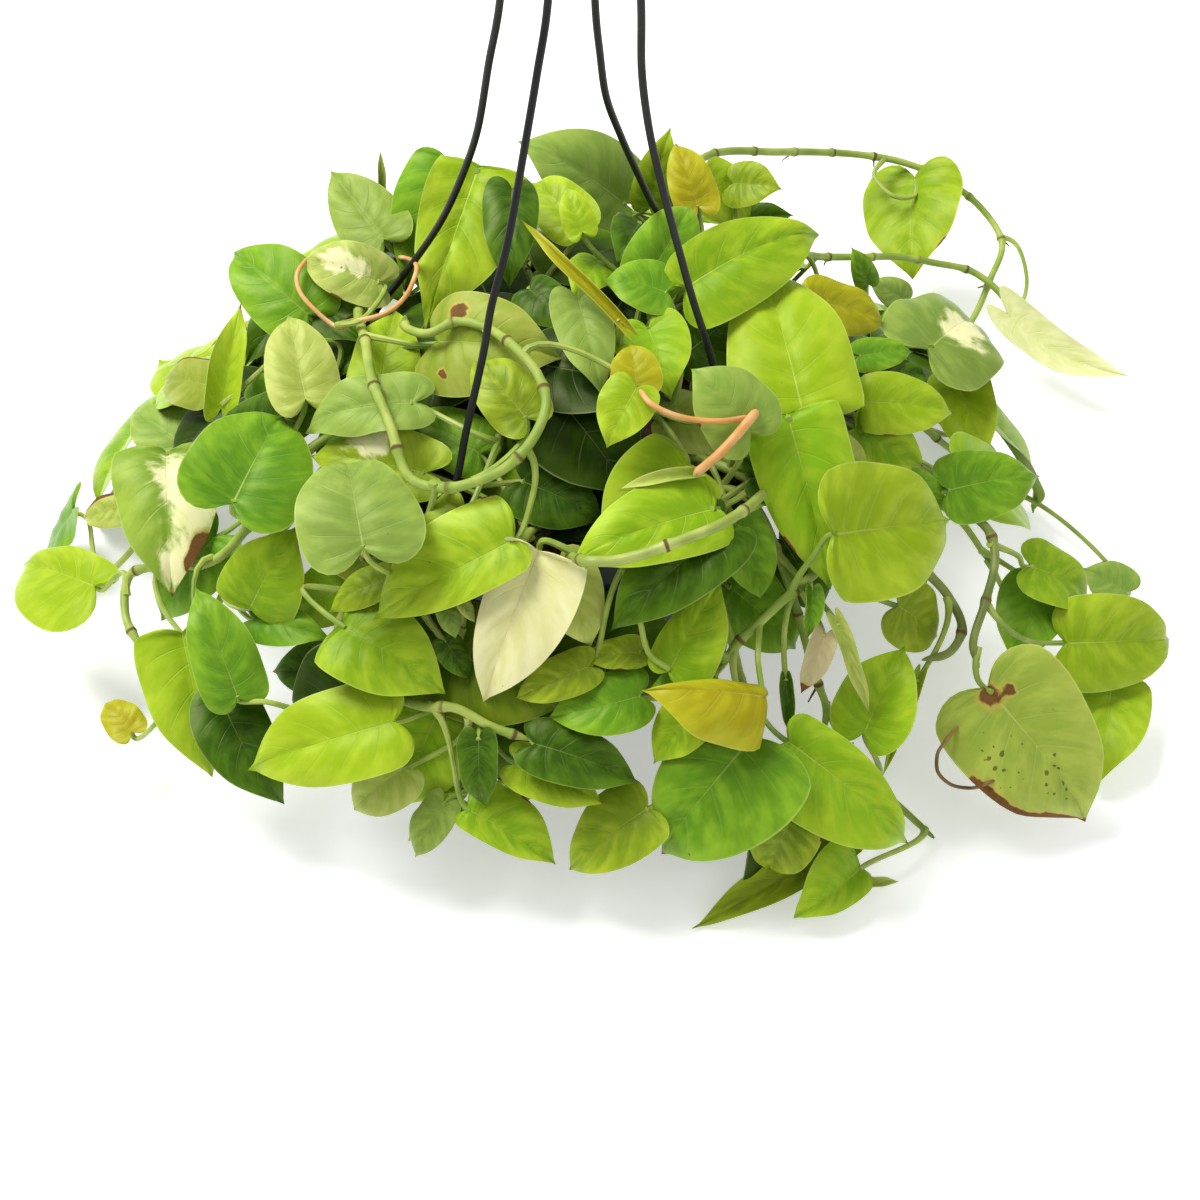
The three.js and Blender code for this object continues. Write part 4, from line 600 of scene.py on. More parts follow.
# The turns and the depths at which the solids' stems were tried, in their order
SHIFTS = (0, 3, -3, 6, -6, 9, -9, 13, -13, 17, -17)
SINKS = (0, 6, -6, 12, 18)
MOUTH_RISE = 8
CREST = {"share": 0.45, "over_rim": 9, "under_mound": 12}
RADIAL_STEMS = 15
RADIAL = {"past": 3, "over": 8, "spans": 5, "depth": 17, "deeper": 4.5, "low": 5, "weave": 2.5}
CROWN_STEMS = 5
CROWN = {"reaches": (18, 34, 52, 70), "height": 136, "sway": (-4.2, 9.8)}


def stem_curve(stem, shift, sink):
    """The stem's curve from its foot in the mix, turned by shift round the pot and lowered by sink."""
    azimuth, reach = stem["hole"]
    turn = rad(azimuth + shift)
    low, throat, mouth = (
        polar(reach, turn, z)
        for z in (SOIL_TOP - STEM_DEPTH_IN_SOIL, SOIL_TOP, SOIL_TOP + SOIL_CROWN + MOUTH_RISE)
    )
    if "points" in stem:
        return smooth([low, throat, mouth, *stem["points"](shift, sink)])
    place = at_height if stem.get("high") else on_mound
    route = [place(p[:2], p[2]) for p in stem["route"]]
    first = route[0]
    flat = math.hypot(first[0], first[1])
    points = [low, throat, mouth]
    if flat > RIM_RADIUS:
        over = RIM_RADIUS / flat
        crest = lerp(mouth, first, CREST["share"])
        crest[:2] = 0.5 * crest[:2] + 0.5 * first[:2] * over
        under = mound_height(crest[0], crest[1]) - CREST["under_mound"] - sink
        crest[2] = max(POT_HEIGHT + CREST["over_rim"], under)
        points.append(crest)
    return smooth(points + route)


def radial_stem(i):
    """A stem that runs straight outward under the leaves, one of those all round the pot."""
    draw = seeded(700 + i)
    azimuth = 360 * (i + 0.5) / RADIAL_STEMS + between(draw, -1.5, 1.5)
    depth = RADIAL["depth"] + RADIAL["deeper"] * (i % 3)
    edge = mound_reach(azimuth, between(draw, 0.8, 1))
    start = RIM_RADIUS + RADIAL["past"]

    def points(shift, sink):
        way = []
        for k in range(RADIAL["spans"] + 1):
            r = start + (edge - start) * k / RADIAL["spans"]
            spot = polar(r, rad(azimuth + shift + RADIAL["weave"] * math.sin(k * 1.7 + i)))
            over_rim = POT_HEIGHT + RADIAL["over"] if k == 0 else 0
            spot[2] = max(mound_height(spot[0], spot[1]) - depth - sink, over_rim, RADIAL["low"])
            way.append(spot)
        return way

    return {"name": f"vine_round_{i + 1:02d}", "hole": (azimuth, 62 + 14 * (i % 2)), "points": points}


def crown_stem(i):
    """A short stem that carries the leaves over the pot's middle."""
    draw = seeded(900 + i)
    azimuth = 360 * i / CROWN_STEMS + 20
    sway = between(draw, *CROWN["sway"])

    def points(shift, sink):
        return [
            polar(r, rad(azimuth + shift + sway * k), CROWN["height"] + 8 * min(k, 2) - sink / 2)
            for k, r in enumerate(CROWN["reaches"])
        ]

    return {"name": f"vine_crown_{i + 1}", "hole": (azimuth, 20), "points": points}


# The shifts, turns and sizes at which the solids' leaves were tried, in their order
NUDGES = (0, 3, -3, 6, -6, 9, -9, 12, -12, 16, -16, 20, -20, 25, -25)
ROLLS = (0, 9, -9, 18, -18)
SIZES = (1, 0.84, 0.7)


def turned(v, axis, angle):
    c, s = math.cos(angle), math.sin(angle)
    return v * c + np.cross(axis, v) * s + axis * ((axis @ v) * (1 - c))


def moved(leaf, nudge, roll_by, size):
    base = leaf["base"] + leaf["normal"] * nudge + leaf["axis"] * (leaf["length"] * (1 - size) / 2)
    normal = turned(leaf["normal"], leaf["axis"], rad(roll_by))
    side = np.cross(leaf["axis"], normal)
    grown = {"length": leaf["length"] * size, "width": leaf["width"] * size}
    return {**leaf, "base": base, "normal": normal, "side": side, **grown}


STALK_BENDS = (0.35, 0.9, -0.1)
STALK_PULL = {"leave": 0.35, "arrive": 0.3, "straight": 7, "low": 4}
RIB_SHARES = (0.3, 0.66)


def stalk_end(leaf):
    """The middle of the faceted blade's thickness beside the notch."""
    plan = np.array([(0, 0), plan_spot(leaf, LOBE, 1), (0, RIB_SHARES[0] * leaf["length"])])
    a, b, c = blade_spots(leaf, *plan.T)
    return 0.66 * a + 0.12 * b + 0.22 * c


def stalk_curve(leaf, start, along, bend):
    """A stalk from its start on a stem to its blade, by the picture points that it passes, if any."""
    end = stalk_end(leaf)
    into = unit(leaf["axis"] * 0.55 + leaf["normal"] * 0.85)
    before = end - into * STALK_PULL["straight"]
    if leaf.get("via"):
        place = at_height if leaf.get("high") else on_mound
        way = [place(p[:2], p[2]) for p in reversed(leaf["via"])]
        below = [lerp(before, end, 0.4)] if bend else []
        return smooth([start, *way, *below, end])
    gap = distance(start, end)
    leave = along * 0.5 + unit(before - start) * 0.5 + UP * bend
    out = start + unit(leave) * (gap * STALK_PULL["leave"])
    out[2] = max(out[2], STALK_PULL["low"])
    return bezier(start, out, end - into * (gap * STALK_PULL["arrive"]), end)


# One of these kinds is the darkest, whose colour is partly painted shade.
FILL_KINDS = (
    "lime", "limegreen", "green", "limegreen", "green", "deep", "olive", "lime", "greygreen", "pale",
)
GOLDEN_ANGLE = 137.508
ROUND_TRIES = 240
UNDER_FILL = {"tries": 300, "middle": (548, 500), "radii": (400, 320)}


def round_leaf(i):
    """A leaf somewhere on the mound."""
    draw = seeded(5000 + 37 * i)
    azimuth = (i * GOLDEN_ANGLE) % 360
    reach = mound_reach(azimuth, 0.3 + 0.7 * math.sqrt(draw()))
    lift = between(draw, -4, 4)
    kind = FILL_KINDS[int(draw() * len(FILL_KINDS))]
    turn = between(draw, -65, 65)
    return placed(kind, azimuth, reach, lift, turn, between(draw, 48, 70), draw)


def under_leaf(i):
    """A leaf under those that the picture shows, at a place in the picture frame."""
    draw = seeded(9000 + 53 * i)
    out = math.sqrt((i + 0.5) / UNDER_FILL["tries"])
    turn = rad(i * GOLDEN_ANGLE)
    middle = vec(*UNDER_FILL["middle"]) + vec(*UNDER_FILL["radii"]) * polar(out, turn)[:2]
    point = turn + rad(between(draw, -55, 55))
    half = between(draw, 38, 52)
    to_tip = polar(half, point)[:2]
    notch, tip = middle - to_tip, middle + to_tip
    lift = between(draw, -10, -24)
    # Nearly half of these are of the darkest kind, whose colour is partly painted shade.
    kind = "deep" if draw() < 0.45 else FILL_KINDS[int(draw() * len(FILL_KINDS))]
    return seen(kind, notch, tip, 1.55 * half, (lift, lift - 4), arch=between(draw, 0.2, 0.4))


# Which of the places that a stem or leaf could take the solids show

LOOSE = 0.02
BLADE_HITS = {"tip": 2, "outline": 5}
LONGEST_STALK = 130


class Solids:
    """The corners of the leafy stems' solids, and which stem each belongs to."""

    def __init__(self):
        self.names = sorted(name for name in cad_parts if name.startswith("vine_"))
        corners, self.owner = [], []
        for name in self.names:
            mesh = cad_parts[name].data
            spots = np.zeros(len(mesh.vertices) * 3)
            mesh.vertices.foreach_get("co", spots)
            corners.append(spots.reshape(-1, 3) / MM)
            self.owner += [name] * len(mesh.vertices)
        self.tree = KDTree(len(self.owner))
        for i, corner in enumerate(np.vstack(corners)):
            self.tree.insert(corner, i)
        self.tree.balance()

    def round_point(self, point, radius):
        """The owners of the corners that lie at that distance from a point."""
        found = self.tree.find_range(point, radius + LOOSE)
        return [self.owner[i] for _, i, gap in found if gap > radius - LOOSE]


solids = Solids()


def find_stem(stem, radius, span):
    """The stem's curve and rings as the solids have them."""
    most = -1
    for sink in SINKS:
        for shift in SHIFTS:
            curve = stem_curve(stem, shift, sink)
            steps = max(6, math.floor(spaced(curve, 1)[1] / span + 0.5))
            rings, length = spaced(curve, steps)
            hits = sum(solids.round_point(p, radius).count(stem["name"]) for p in rings)
            if hits > most:
                most = hits
                found = {"name": stem["name"], "curve": curve, "rings": rings, "length": length}
    return found


def find_leaf(leaf):
    """The leaf as it was moved among the solids, and the vine that it grew on, or None."""
    for size in SIZES:
        for nudge in NUDGES:
            tried = moved(leaf, nudge, 0, size)
            tip = lay_on_ground(tried["base"] + tried["axis"] * tried["length"])
            owners = solids.round_point(tip, BLADE / 2)
            if len(owners) < BLADE_HITS["tip"]:
                continue
            for roll_by in ROLLS:
                tried = moved(leaf, nudge, roll_by, size)
                plan = np.array([plan_spot(tried, spot, side) for spot in (BELLY, TAPER) for side in (1, -1)])
                hits = sum(len(solids.round_point(p, BLADE / 2)) for p in blade_spots(tried, *plan.T))
                if hits >= BLADE_HITS["outline"]:
                    return tried, max(set(owners), key=owners.count)
    return None


def stem_nodes(rings):
    """The points where stalks may start, and the stem's way there."""
    starts = []
    for a, b in zip(rings, rings[1:]):
        starts += [(lerp(a, b, share), unit(b - a)) for share in NODE_SHARES]
    return starts


def find_stalk(leaf, rings):
    """The curve of the leaf's stalk as the solids have it, and its start on the stem."""
    count = 3 + 2 * len(leaf["via"]) if leaf.get("via") else 2
    bends = (1, 0) if leaf.get("via") else STALK_BENDS
    nodes = sorted(stem_nodes(rings), key=lambda node: distance(node[0], leaf["base"]))
    most, found = 0, (stalk_curve(leaf, *nodes[0], STALK_BENDS[0]), nodes[0][0])
    for start, along in nodes:
        if distance(start, leaf["base"]) > LONGEST_STALK and not leaf.get("via"):
            continue
        for bend in bends:
            curve = stalk_curve(leaf, start, along, bend)
            inner = spaced(curve, count)[0][1:-1]
            hits = sum(len(solids.round_point(p, STALK_RADIUS)) for p in inner)
            if hits > most:
                most, found = hits, (curve, start)
    return found


# Colours, as on a screen


def linear(colour, times=1.0):
    """A screen colour such as 9dc43c as linear red, green and blue."""
    channels = [int(colour[k:k + 2], 16) / 255 for k in (0, 2, 4)]
    return vec(*[c / 12.92 if c <= 0.04045 else ((c + 0.055) / 1.055) ** 2.4 for c in channels]) * times


# The body of the blade and its lighter stretches
KINDS = {
    "lime": ("88a818", "b3ca35"),
    "limegreen": ("7ca518", "afc92e"),
    "green": ("5a8a1b", "8cb52b"),
    # The darkest kind is partly the leaves' own dark green and partly painted shade, for leaves seen in the
    # gaps under others.
    "deep": ("2f4f0c", "597f17"),
    "olive": ("778e1c", "a8bc2e"),
    "gold": ("979214", "b9b827"),
    "cream": ("d3d590", "efecb8"),
    "pale": ("9aac48", "c4cb70"),
    "greygreen": ("78953d", "9db451"),
    "variegated": ("759635", "a2b947"),
    "spotted": ("84962c", "a5ac50"),
    "speckled": ("94a83e", "bbc658"),
    "brownend": ("a79c70", "bcb68c"),
}
STEM_TINT = ("86a03c", "b0bf5a")
OLIVE_STEM_TINT = ("66752f", "8a9648")
PEACH_TINT = ("d99a54", "efc088")
RUNNER_TINT = ("8fa345", "b5c068")
TENDRIL_TINT = ("6b4c26", "96743f")
ROOT_TINT = ("5a3d22", "7a5a35")
NODE_TINT = ("4c3a1c", "776330")
STRIPE_TINT = "6d7f2c"
VEIN_TINT = "dbe39a"
CREAM_TINT = ("dcdc8e", "f1edc4")
UNDERSIDE_TINT = "9db06c"
SPECK_TINT = "4a3a18"
WORN_TINT = "bfa650"
DRY_TINT = ("35200f", "8f6236")
POT_TINT = ("1b1d1f", "34383a")
HANGER_TINT = ("050606", "0e0f10")
PEAT_TINT = ("20140c", "54391f")
BARK_TINT = "7b5b37"
FLOOR_TINT = ("f4f5f6", "f7f7f7")


# Fine meshes: a piece is gathered from blades, stems and roots, then made at once

BLADE_SLOT, STEM_SLOT = 0, 1


class Piece:
    """Points, faces and what the materials read of them, for one object."""

    def __init__(self, name):
        self.name = name
        self.points, self.place, self.tint, self.glow, self.marks = [], [], [], [], []
        self.faces, self.slots = [], []
        self.count = 0

    def add(self, points, faces, slot, place, tint, glow, marks):
        n = len(points)
        self.points.append(points)
        self.place.append(place)
        self.tint.append(np.broadcast_to(tint, (n, 3)))
        self.glow.append(np.broadcast_to(glow, (n, 3)))
        self.marks.append(np.broadcast_to(marks, (n, 3)))
        self.faces += [tuple(k + self.count for k in face) for face in faces]
        self.slots += [slot] * len(faces)
        self.count += n

    def build(self, materials):
        mesh = bpy.data.meshes.new(self.name)
        mesh.from_pydata(np.vstack(self.points) * MM, [], self.faces)
        for name, rows in (("place", self.place), ("marks", self.marks)):
            layer = mesh.attributes.new(name, "FLOAT_VECTOR", "POINT")
            layer.data.foreach_set("vector", np.vstack(rows).ravel())
        for name, rows in (("tint", self.tint), ("glow", self.glow)):
            layer = mesh.attributes.new(name, "FLOAT_COLOR", "POINT")
            colours = np.hstack([np.vstack(rows), np.ones((self.count, 1))])
            layer.data.foreach_set("color", colours.ravel())
        mesh.polygons.foreach_set("material_index", self.slots)
        return finished(mesh, materials)


def link(thing):
    bpy.context.scene.collection.objects.link(thing)
    return thing


def finished(mesh, materials, sharp=50):
    """The object of a mesh, smooth apart from its sharp edges, on the one body."""
    mesh.validate()
    for material in materials:
        mesh.materials.append(material)
    mesh.shade_smooth()
    mesh.set_sharp_from_angle(angle=rad(sharp))
    piece = link(bpy.data.objects.new(mesh.name, mesh))
    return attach(piece, "root")


# The fine blade: rows run from the midrib to the margin, as the side veins do

HALF_OUTLINE = (
    (0, 0), (0.05, -0.055), (0.15, -0.13), (0.275, -0.15), (0.4, -0.09), (0.478, 0.03), (0.5, 0.17),
    (0.488, 0.33), (0.44, 0.5), (0.35, 0.66), (0.225, 0.8), (0.1, 0.9), (0.03, 0.955), (0, 1),
)
ROWS, COLUMNS = 26, 8
TYPICAL_SHAPE = 0.8
VEINS = {"first": 0.08, "apart": 0.15, "bend": 0.06, "foot": 2.5}
SKIN = {"inside": 0.27, "margin": 0.12}
FLOOR_GAP = 0.3
DRY_TIPS, DRY_EDGES = 0.12, 0.14
TYPICAL_LENGTH = 70
# How far the quilting, the midrib's groove above and its rib below stand out, and how wide they are
RELIEF = {"quilt": 0.85, "groove": 0.7, "groove_width": 2.2, "rib": 0.65, "rib_width": 1.3}
# How far the margin waves and the sides, lobes and tip bend down, from least to most, as shares of the length
WAVE, DROOP, LOBE_LIFT, TIP_HANG = (0.012, 0.034), (-0.015, 0.055), (-0.042, 0.078), (0.04, 0.1)
WAVES = (1.6, 3)
SURFACE_ROLL = 0.014
ROLLED_SUPPLENESS = 0.35


def blade_template():
    """A flat blade: its points' x and y, their places along and across, and the faces of both sides."""
    outline = [(x * TYPICAL_SHAPE, y, 0) for x, y in HALF_OUTLINE]
    margin = spaced(smooth(outline), ROWS)[0][:, :2] / (TYPICAL_SHAPE, 1)
    shares = np.linspace(0, 1, ROWS + 1)
    rib = shares ** VEINS["foot"]
    sides = np.arange(-COLUMNS, COLUMNS + 1) / COLUMNS
    x, y, s, t = [0, 0], [0, 1], [0, 1], [0, 0]
    for k in range(1, ROWS):
        out = np.abs(sides)
        x += list(margin[k][0] * sides)
        y += list(rib[k] + (margin[k][1] - rib[k]) * out)
        s += [shares[k]] * len(sides)
        t += list(sides)
    wide = 2 * COLUMNS + 1

    def at(row, column):
        return 0 if row == 0 else 1 if row == ROWS else 2 + (row - 1) * wide + column

    top = []
    for row in range(ROWS):
        for column in range(wide - 1):
            corners = [at(row, column), at(row, column + 1), at(row + 1, column + 1), at(row + 1, column)]
            top.append(tuple(dict.fromkeys(corners)))
    count = len(x)
    edge = [0] + [at(row, wide - 1) for row in range(1, ROWS)] + [1]
    edge += [at(row, 0) for row in range(ROWS - 1, 0, -1)]
    rim = [(a, count + a, count + b, b) for a, b in zip(edge, edge[1:] + edge[:1])]
    under = [tuple(count + k for k in reversed(face)) for face in top]
    return np.array(x), np.array(y), np.array(s), np.array(t), top + under + rim


PLAN_X, PLAN_Y, PLAN_S, PLAN_T, BLADE_FACES = blade_template()
PLAN_OUT = np.abs(PLAN_T)
PLAN_SIDE = np.sign(PLAN_T)


def blade_normals(leaf, x, y, step=0.5):
    along_x = blade_spots(leaf, x + step, y) - blade_spots(leaf, x - step, y)
    along_y = blade_spots(leaf, x, y + step) - blade_spots(leaf, x, y - step)
    normals = np.cross(along_x, along_y)
    return normals / np.linalg.norm(normals, axis=1)[:, None]


def mark_amounts(leaf, draw):
    """How brown, how pale and how specked each point of the blade is, from 0 to 1."""
    amounts = {what: np.zeros(len(PLAN_X)) for what in ("brown", "pale", "speck")}

    def spread(what, amount):
        np.maximum(amounts[what], amount, out=amounts[what])

    def edge(side, fade_in, fade_out, depth):
        inside = smoothstep(*fade_in, PLAN_S) * (1 - smoothstep(*fade_out, PLAN_S))
        return smoothstep(1 - depth, 1, PLAN_OUT) * inside * (PLAN_T * side > 0)

    for what, *rest in leaf.get("marks", ()):
        if what == "tip":
            spread("brown", smoothstep(1 - rest[0], 1, PLAN_Y))
        elif what == "edge":
            side, low, high, depth = rest
            spread("brown", edge(side, (low - 0.05, low + 0.03), (high - 0.03, high + 0.05), depth))
        else:
            x, y, size = rest
            gap = np.hypot((PLAN_X - x) * TYPICAL_SHAPE, PLAN_Y - y)
            spread(what, np.clip(1 - gap / size, 0, 1))
    if draw() < DRY_TIPS:
        spread("brown", 0.8 * smoothstep(between(draw, 0.95, 0.9), 1, PLAN_Y))
    if draw() < DRY_EDGES:
        side, low = (1 if draw() < 0.5 else -1), between(draw, 0.2, 0.8)
        spread("brown", 0.75 * edge(side, (low - 0.05, low), (low + 0.05, low + 0.1), 0.14))
    return np.stack(list(amounts.values()), axis=1)


def blade_rise(leaf, draw):
    """How far each point of the fine blade stands off its middle surface."""
    length, half = leaf["length"], leaf["width"] / 2
    supple = length * (ROLLED_SUPPLENESS if leaf["roll"] else 1)
    up = np.clip(PLAN_Y, 0, 1)
    veins_here = (PLAN_S - VEINS["bend"] * PLAN_OUT**2 - VEINS["first"]) / VEINS["apart"]
    fade = np.sin(np.pi * PLAN_OUT**0.8) * smoothstep(0.02, 0.16, PLAN_S)
    fade = fade * (1 - smoothstep(0.8, 0.97, PLAN_S))
    quilt = RELIEF["quilt"] * supple / TYPICAL_LENGTH * (1 - np.cos(2 * np.pi * veins_here)) / 2 * fade
    groove = -RELIEF["groove"] * length / TYPICAL_LENGTH * (1 - 0.7 * up)
    groove = groove * np.exp(-((PLAN_OUT * half / RELIEF["groove_width"]) ** 2))
    phase, turns = 2 * np.pi * draw(), between(draw, *WAVES)
    wave = supple * between(draw, *WAVE) * PLAN_OUT**3 * np.sin(np.pi * PLAN_S)
    wave = wave * np.sin(turns * 2 * np.pi * PLAN_S + phase + 1.3 * PLAN_SIDE)
    swell = 2 * np.pi * draw()
    roll_over = SURFACE_ROLL * supple * np.sin(1.5 * np.pi * up + 2 * PLAN_T + swell)
    droop = [supple * between(draw, *DROOP) for _ in (0, 1)]
    fall = -np.where(PLAN_SIDE > 0, *droop) * PLAN_OUT**2.4 * np.sin(np.pi * np.clip(PLAN_S, 0.05, 0.95))
    lobe = supple * between(draw, *LOBE_LIFT) * smoothstep(0.06, -0.16, PLAN_Y)
    hang = -supple * between(draw, *TIP_HANG) * smoothstep(0.74, 1.0, PLAN_Y) ** 1.5
    return quilt + groove + wave + roll_over + fall + lobe + hang


def fine_blade(piece, leaf, seed):
    """A thin blade with both its sides, shaped, tinted and marked by draws of its own."""
    draw = seeded(seed)
    length, width = leaf["length"], leaf["width"]
    lean = 1 + (between(draw, -0.05, 0.05) + leaf["lean"]) * PLAN_SIDE
    slim = 1 - between(draw, 0, 0.3) * smoothstep(0.6, 0.95, PLAN_Y)
    x = PLAN_X * width * lean * slim
    y = np.where(PLAN_Y < 0, PLAN_Y * leaf["lobes"], PLAN_Y) * length
    normals = blade_normals(leaf, x, y)
    middle = blade_spots(leaf, x, y) + normals * blade_rise(leaf, draw)[:, None]
    middle = lay_on_ground(middle, 1.5)
    half_skin = SKIN["inside"] + (SKIN["margin"] - SKIN["inside"]) * smoothstep(0.8, 1, PLAN_OUT)
    rib = RELIEF["rib"] * length / TYPICAL_LENGTH * (1 - 0.75 * np.clip(PLAN_Y, 0, 1))
    rib = rib * np.exp(-((PLAN_OUT * width / 2 / RELIEF["rib_width"]) ** 2))
    both = np.vstack([middle + normals * half_skin[:, None], middle - normals * (half_skin + rib)[:, None]])
    both[:, 2] = np.maximum(both[:, 2], FLOOR_GAP)
    place = np.stack([PLAN_S, PLAN_T, np.zeros(len(PLAN_S))], axis=1)
    place = np.vstack([place, place + (0, 0, 1)])
    # The shade factor darkens a leaf's colours; for the inner leaves it is painted shade.
    tint, glow = (linear(colour, leaf.get("shade", 1)) for colour in KINDS[leaf["kind"]])
    tint = tint * between(draw, 0.88, 1.12) * vec(between(draw, 0.96, 1.06), 1, between(draw, 0.8, 1.1))
    marks = mark_amounts(leaf, draw)
    piece.add(both, BLADE_FACES, BLADE_SLOT, place, tint, glow, np.vstack([marks, marks]))


# Round lengths: stems, stalks, roots, strands

# The near-side stems end up to so much short of their solids, just past their last stalk
END_TRIM = 30
TRIMMED = ("vine_round", "vine_near", "vine_low")
STEM_STEP = 1.7
STEM_NODES = {"first": 24, "apart": 31, "rise": 0.62, "spread": 1.9, "brown": 0.8}
STALK_LOOK = 1.15
ROOT = {"share": 0.6, "lengths": (4, 13), "bend": 0.12, "radii": (0.75, 0.3375), "brown": 0.35}
ROOT_FROM_END = 30
ON_STEM = 4


def tube(points, radii, sides):
    """A closed tube along points: its corners and faces."""
    points = np.asarray(points)
    radii = np.broadcast_to(radii, len(points))
    ways = np.gradient(points, axis=0)
    ways /= np.linalg.norm(ways, axis=1)[:, None]
    across = np.cross(ways[0], UP if abs(ways[0][2]) < 0.9 else vec(1, 0, 0))
    turns = 2 * np.pi * np.arange(sides) / sides
    corners = []
    for point, way, radius in zip(points, ways, radii):
        across = unit(across - way * (across @ way))
        other = np.cross(way, across)
        ring = np.cos(turns)[:, None] * across + np.sin(turns)[:, None] * other
        corners.append(point + radius * ring)
    faces = []
    for k in range(len(points) - 1):
        for i in range(sides):
            j = (i + 1) % sides
            faces.append((k * sides + i, k * sides + j, (k + 1) * sides + j, (k + 1) * sides + i))
    faces.append(tuple(reversed(range(sides))))
    faces.append(tuple(range((len(points) - 1) * sides, len(points) * sides)))
    return np.vstack(corners), faces


def add_tube(piece, points, radii, sides, tints, brown=0.0):
    """A closed tube with the stem's material, brown where told."""
    corners, faces = tube(points, radii, sides)
    along = np.repeat(way_along(points), sides)
    turns = np.tile(np.arange(sides) / sides, len(points))
    place = np.stack([turns, along / 100, np.full(len(along), 2.0)], axis=1)
    marks = np.zeros((len(along), 3))
    marks[:, 0] = np.repeat(np.broadcast_to(brown, len(points)), sides)
    tint, glow = (linear(colour) for colour in tints)
    piece.add(corners, faces, STEM_SLOT, place, tint, glow, marks)


def add_root(piece, start, way, length, draw):
    """A short dark root that leaves the stem at a node and bends down."""
    side = unit(np.cross(way, UP) + 0.01)
    leave = unit(side * between(draw, -1, 1) - UP * between(draw, 0.3, 1.3))
    share = np.linspace(0, 1, 6)[:, None]
    points = start + leave * length * share - UP * ROOT["bend"] * length * share**2
    radii = np.linspace(*ROOT["radii"], len(points))
    add_tube(piece, lay_on_ground(points), radii, 5, ROOT_TINT, ROOT["brown"])


def grown_length(stem, starts):
    """How far the stem shows: to its end, or on the near side to just past its last leaf stalk."""
    if not stem["name"].startswith(TRIMMED):
        return stem["length"]
    points = spaced(stem["curve"], 100)[0]
    last = 0
    for start in starts:
        gaps = np.linalg.norm(points - start, axis=1)
        if gaps.min() < ON_STEM:
            last = max(last, int(np.argmin(gaps)))
    return min(stem["length"], max(stem["length"] * last / 100 + 5, stem["length"] - END_TRIM))


def add_stem(piece, stem, radius, bends, tints, seed):
    """A stem with a swollen ring and a thin dark line at each node, and short roots at some."""
    draw = seeded(seed)
    count = max(24, int(stem["length"] / STEM_STEP))
    points = spaced(stem["curve"], count)[0]
    along = np.linspace(0, stem["length"], count + 1)
    points, along = points[along <= stem["grown"]], along[along <= stem["grown"]]
    radii = radius * (1 - 0.22 * along / stem["length"])
    brown = np.zeros(len(along))
    for bend in bends:
        radii = radii + STEM_NODES["rise"] * np.exp(-(((along - bend) / STEM_NODES["spread"]) ** 2))
        brown = np.maximum(brown, STEM_NODES["brown"] * np.exp(-((along - bend) ** 2)))
        k = int(round(bend / stem["length"] * count))
        if draw() < ROOT["share"] and 2 < k and bend < stem["grown"] - ROOT_FROM_END:
            length = between(draw, *ROOT["lengths"])
            add_root(piece, points[k], unit(points[k + 1] - points[k - 1]), length, draw)
    radii *= np.sqrt(np.clip((along[-1] - along + 0.3) / 9, 0.02, 1))
    add_tube(piece, lay_on_ground(points), radii, 10, tints, brown)


def add_stalk(piece, leaf, curve, start):
    """A leaf stalk, thicker where it clasps the stem and where it meets the blade."""
    count = 30 if leaf.get("via") else 14
    points, length = spaced(curve, count)
    share = np.linspace(0, 1, count + 1)
    notch = blade_spots(leaf, vec(0), vec(0.03 * leaf["length"]))[0] - leaf["normal"] * 0.5
    points = points + (notch - points[-1]) * smoothstep(0.5, 1, share)[:, None]
    points = points + (start - points[0]) * (1 - smoothstep(0, 0.4, share))[:, None]
    along = share * length
    radii = STALK_LOOK * (1 + 0.75 * np.exp(-along / 7) + 0.12 * np.exp(-(length - along) / 5))
    add_tube(piece, lay_on_ground(points), radii, 7, STEM_TINT)


# Materials


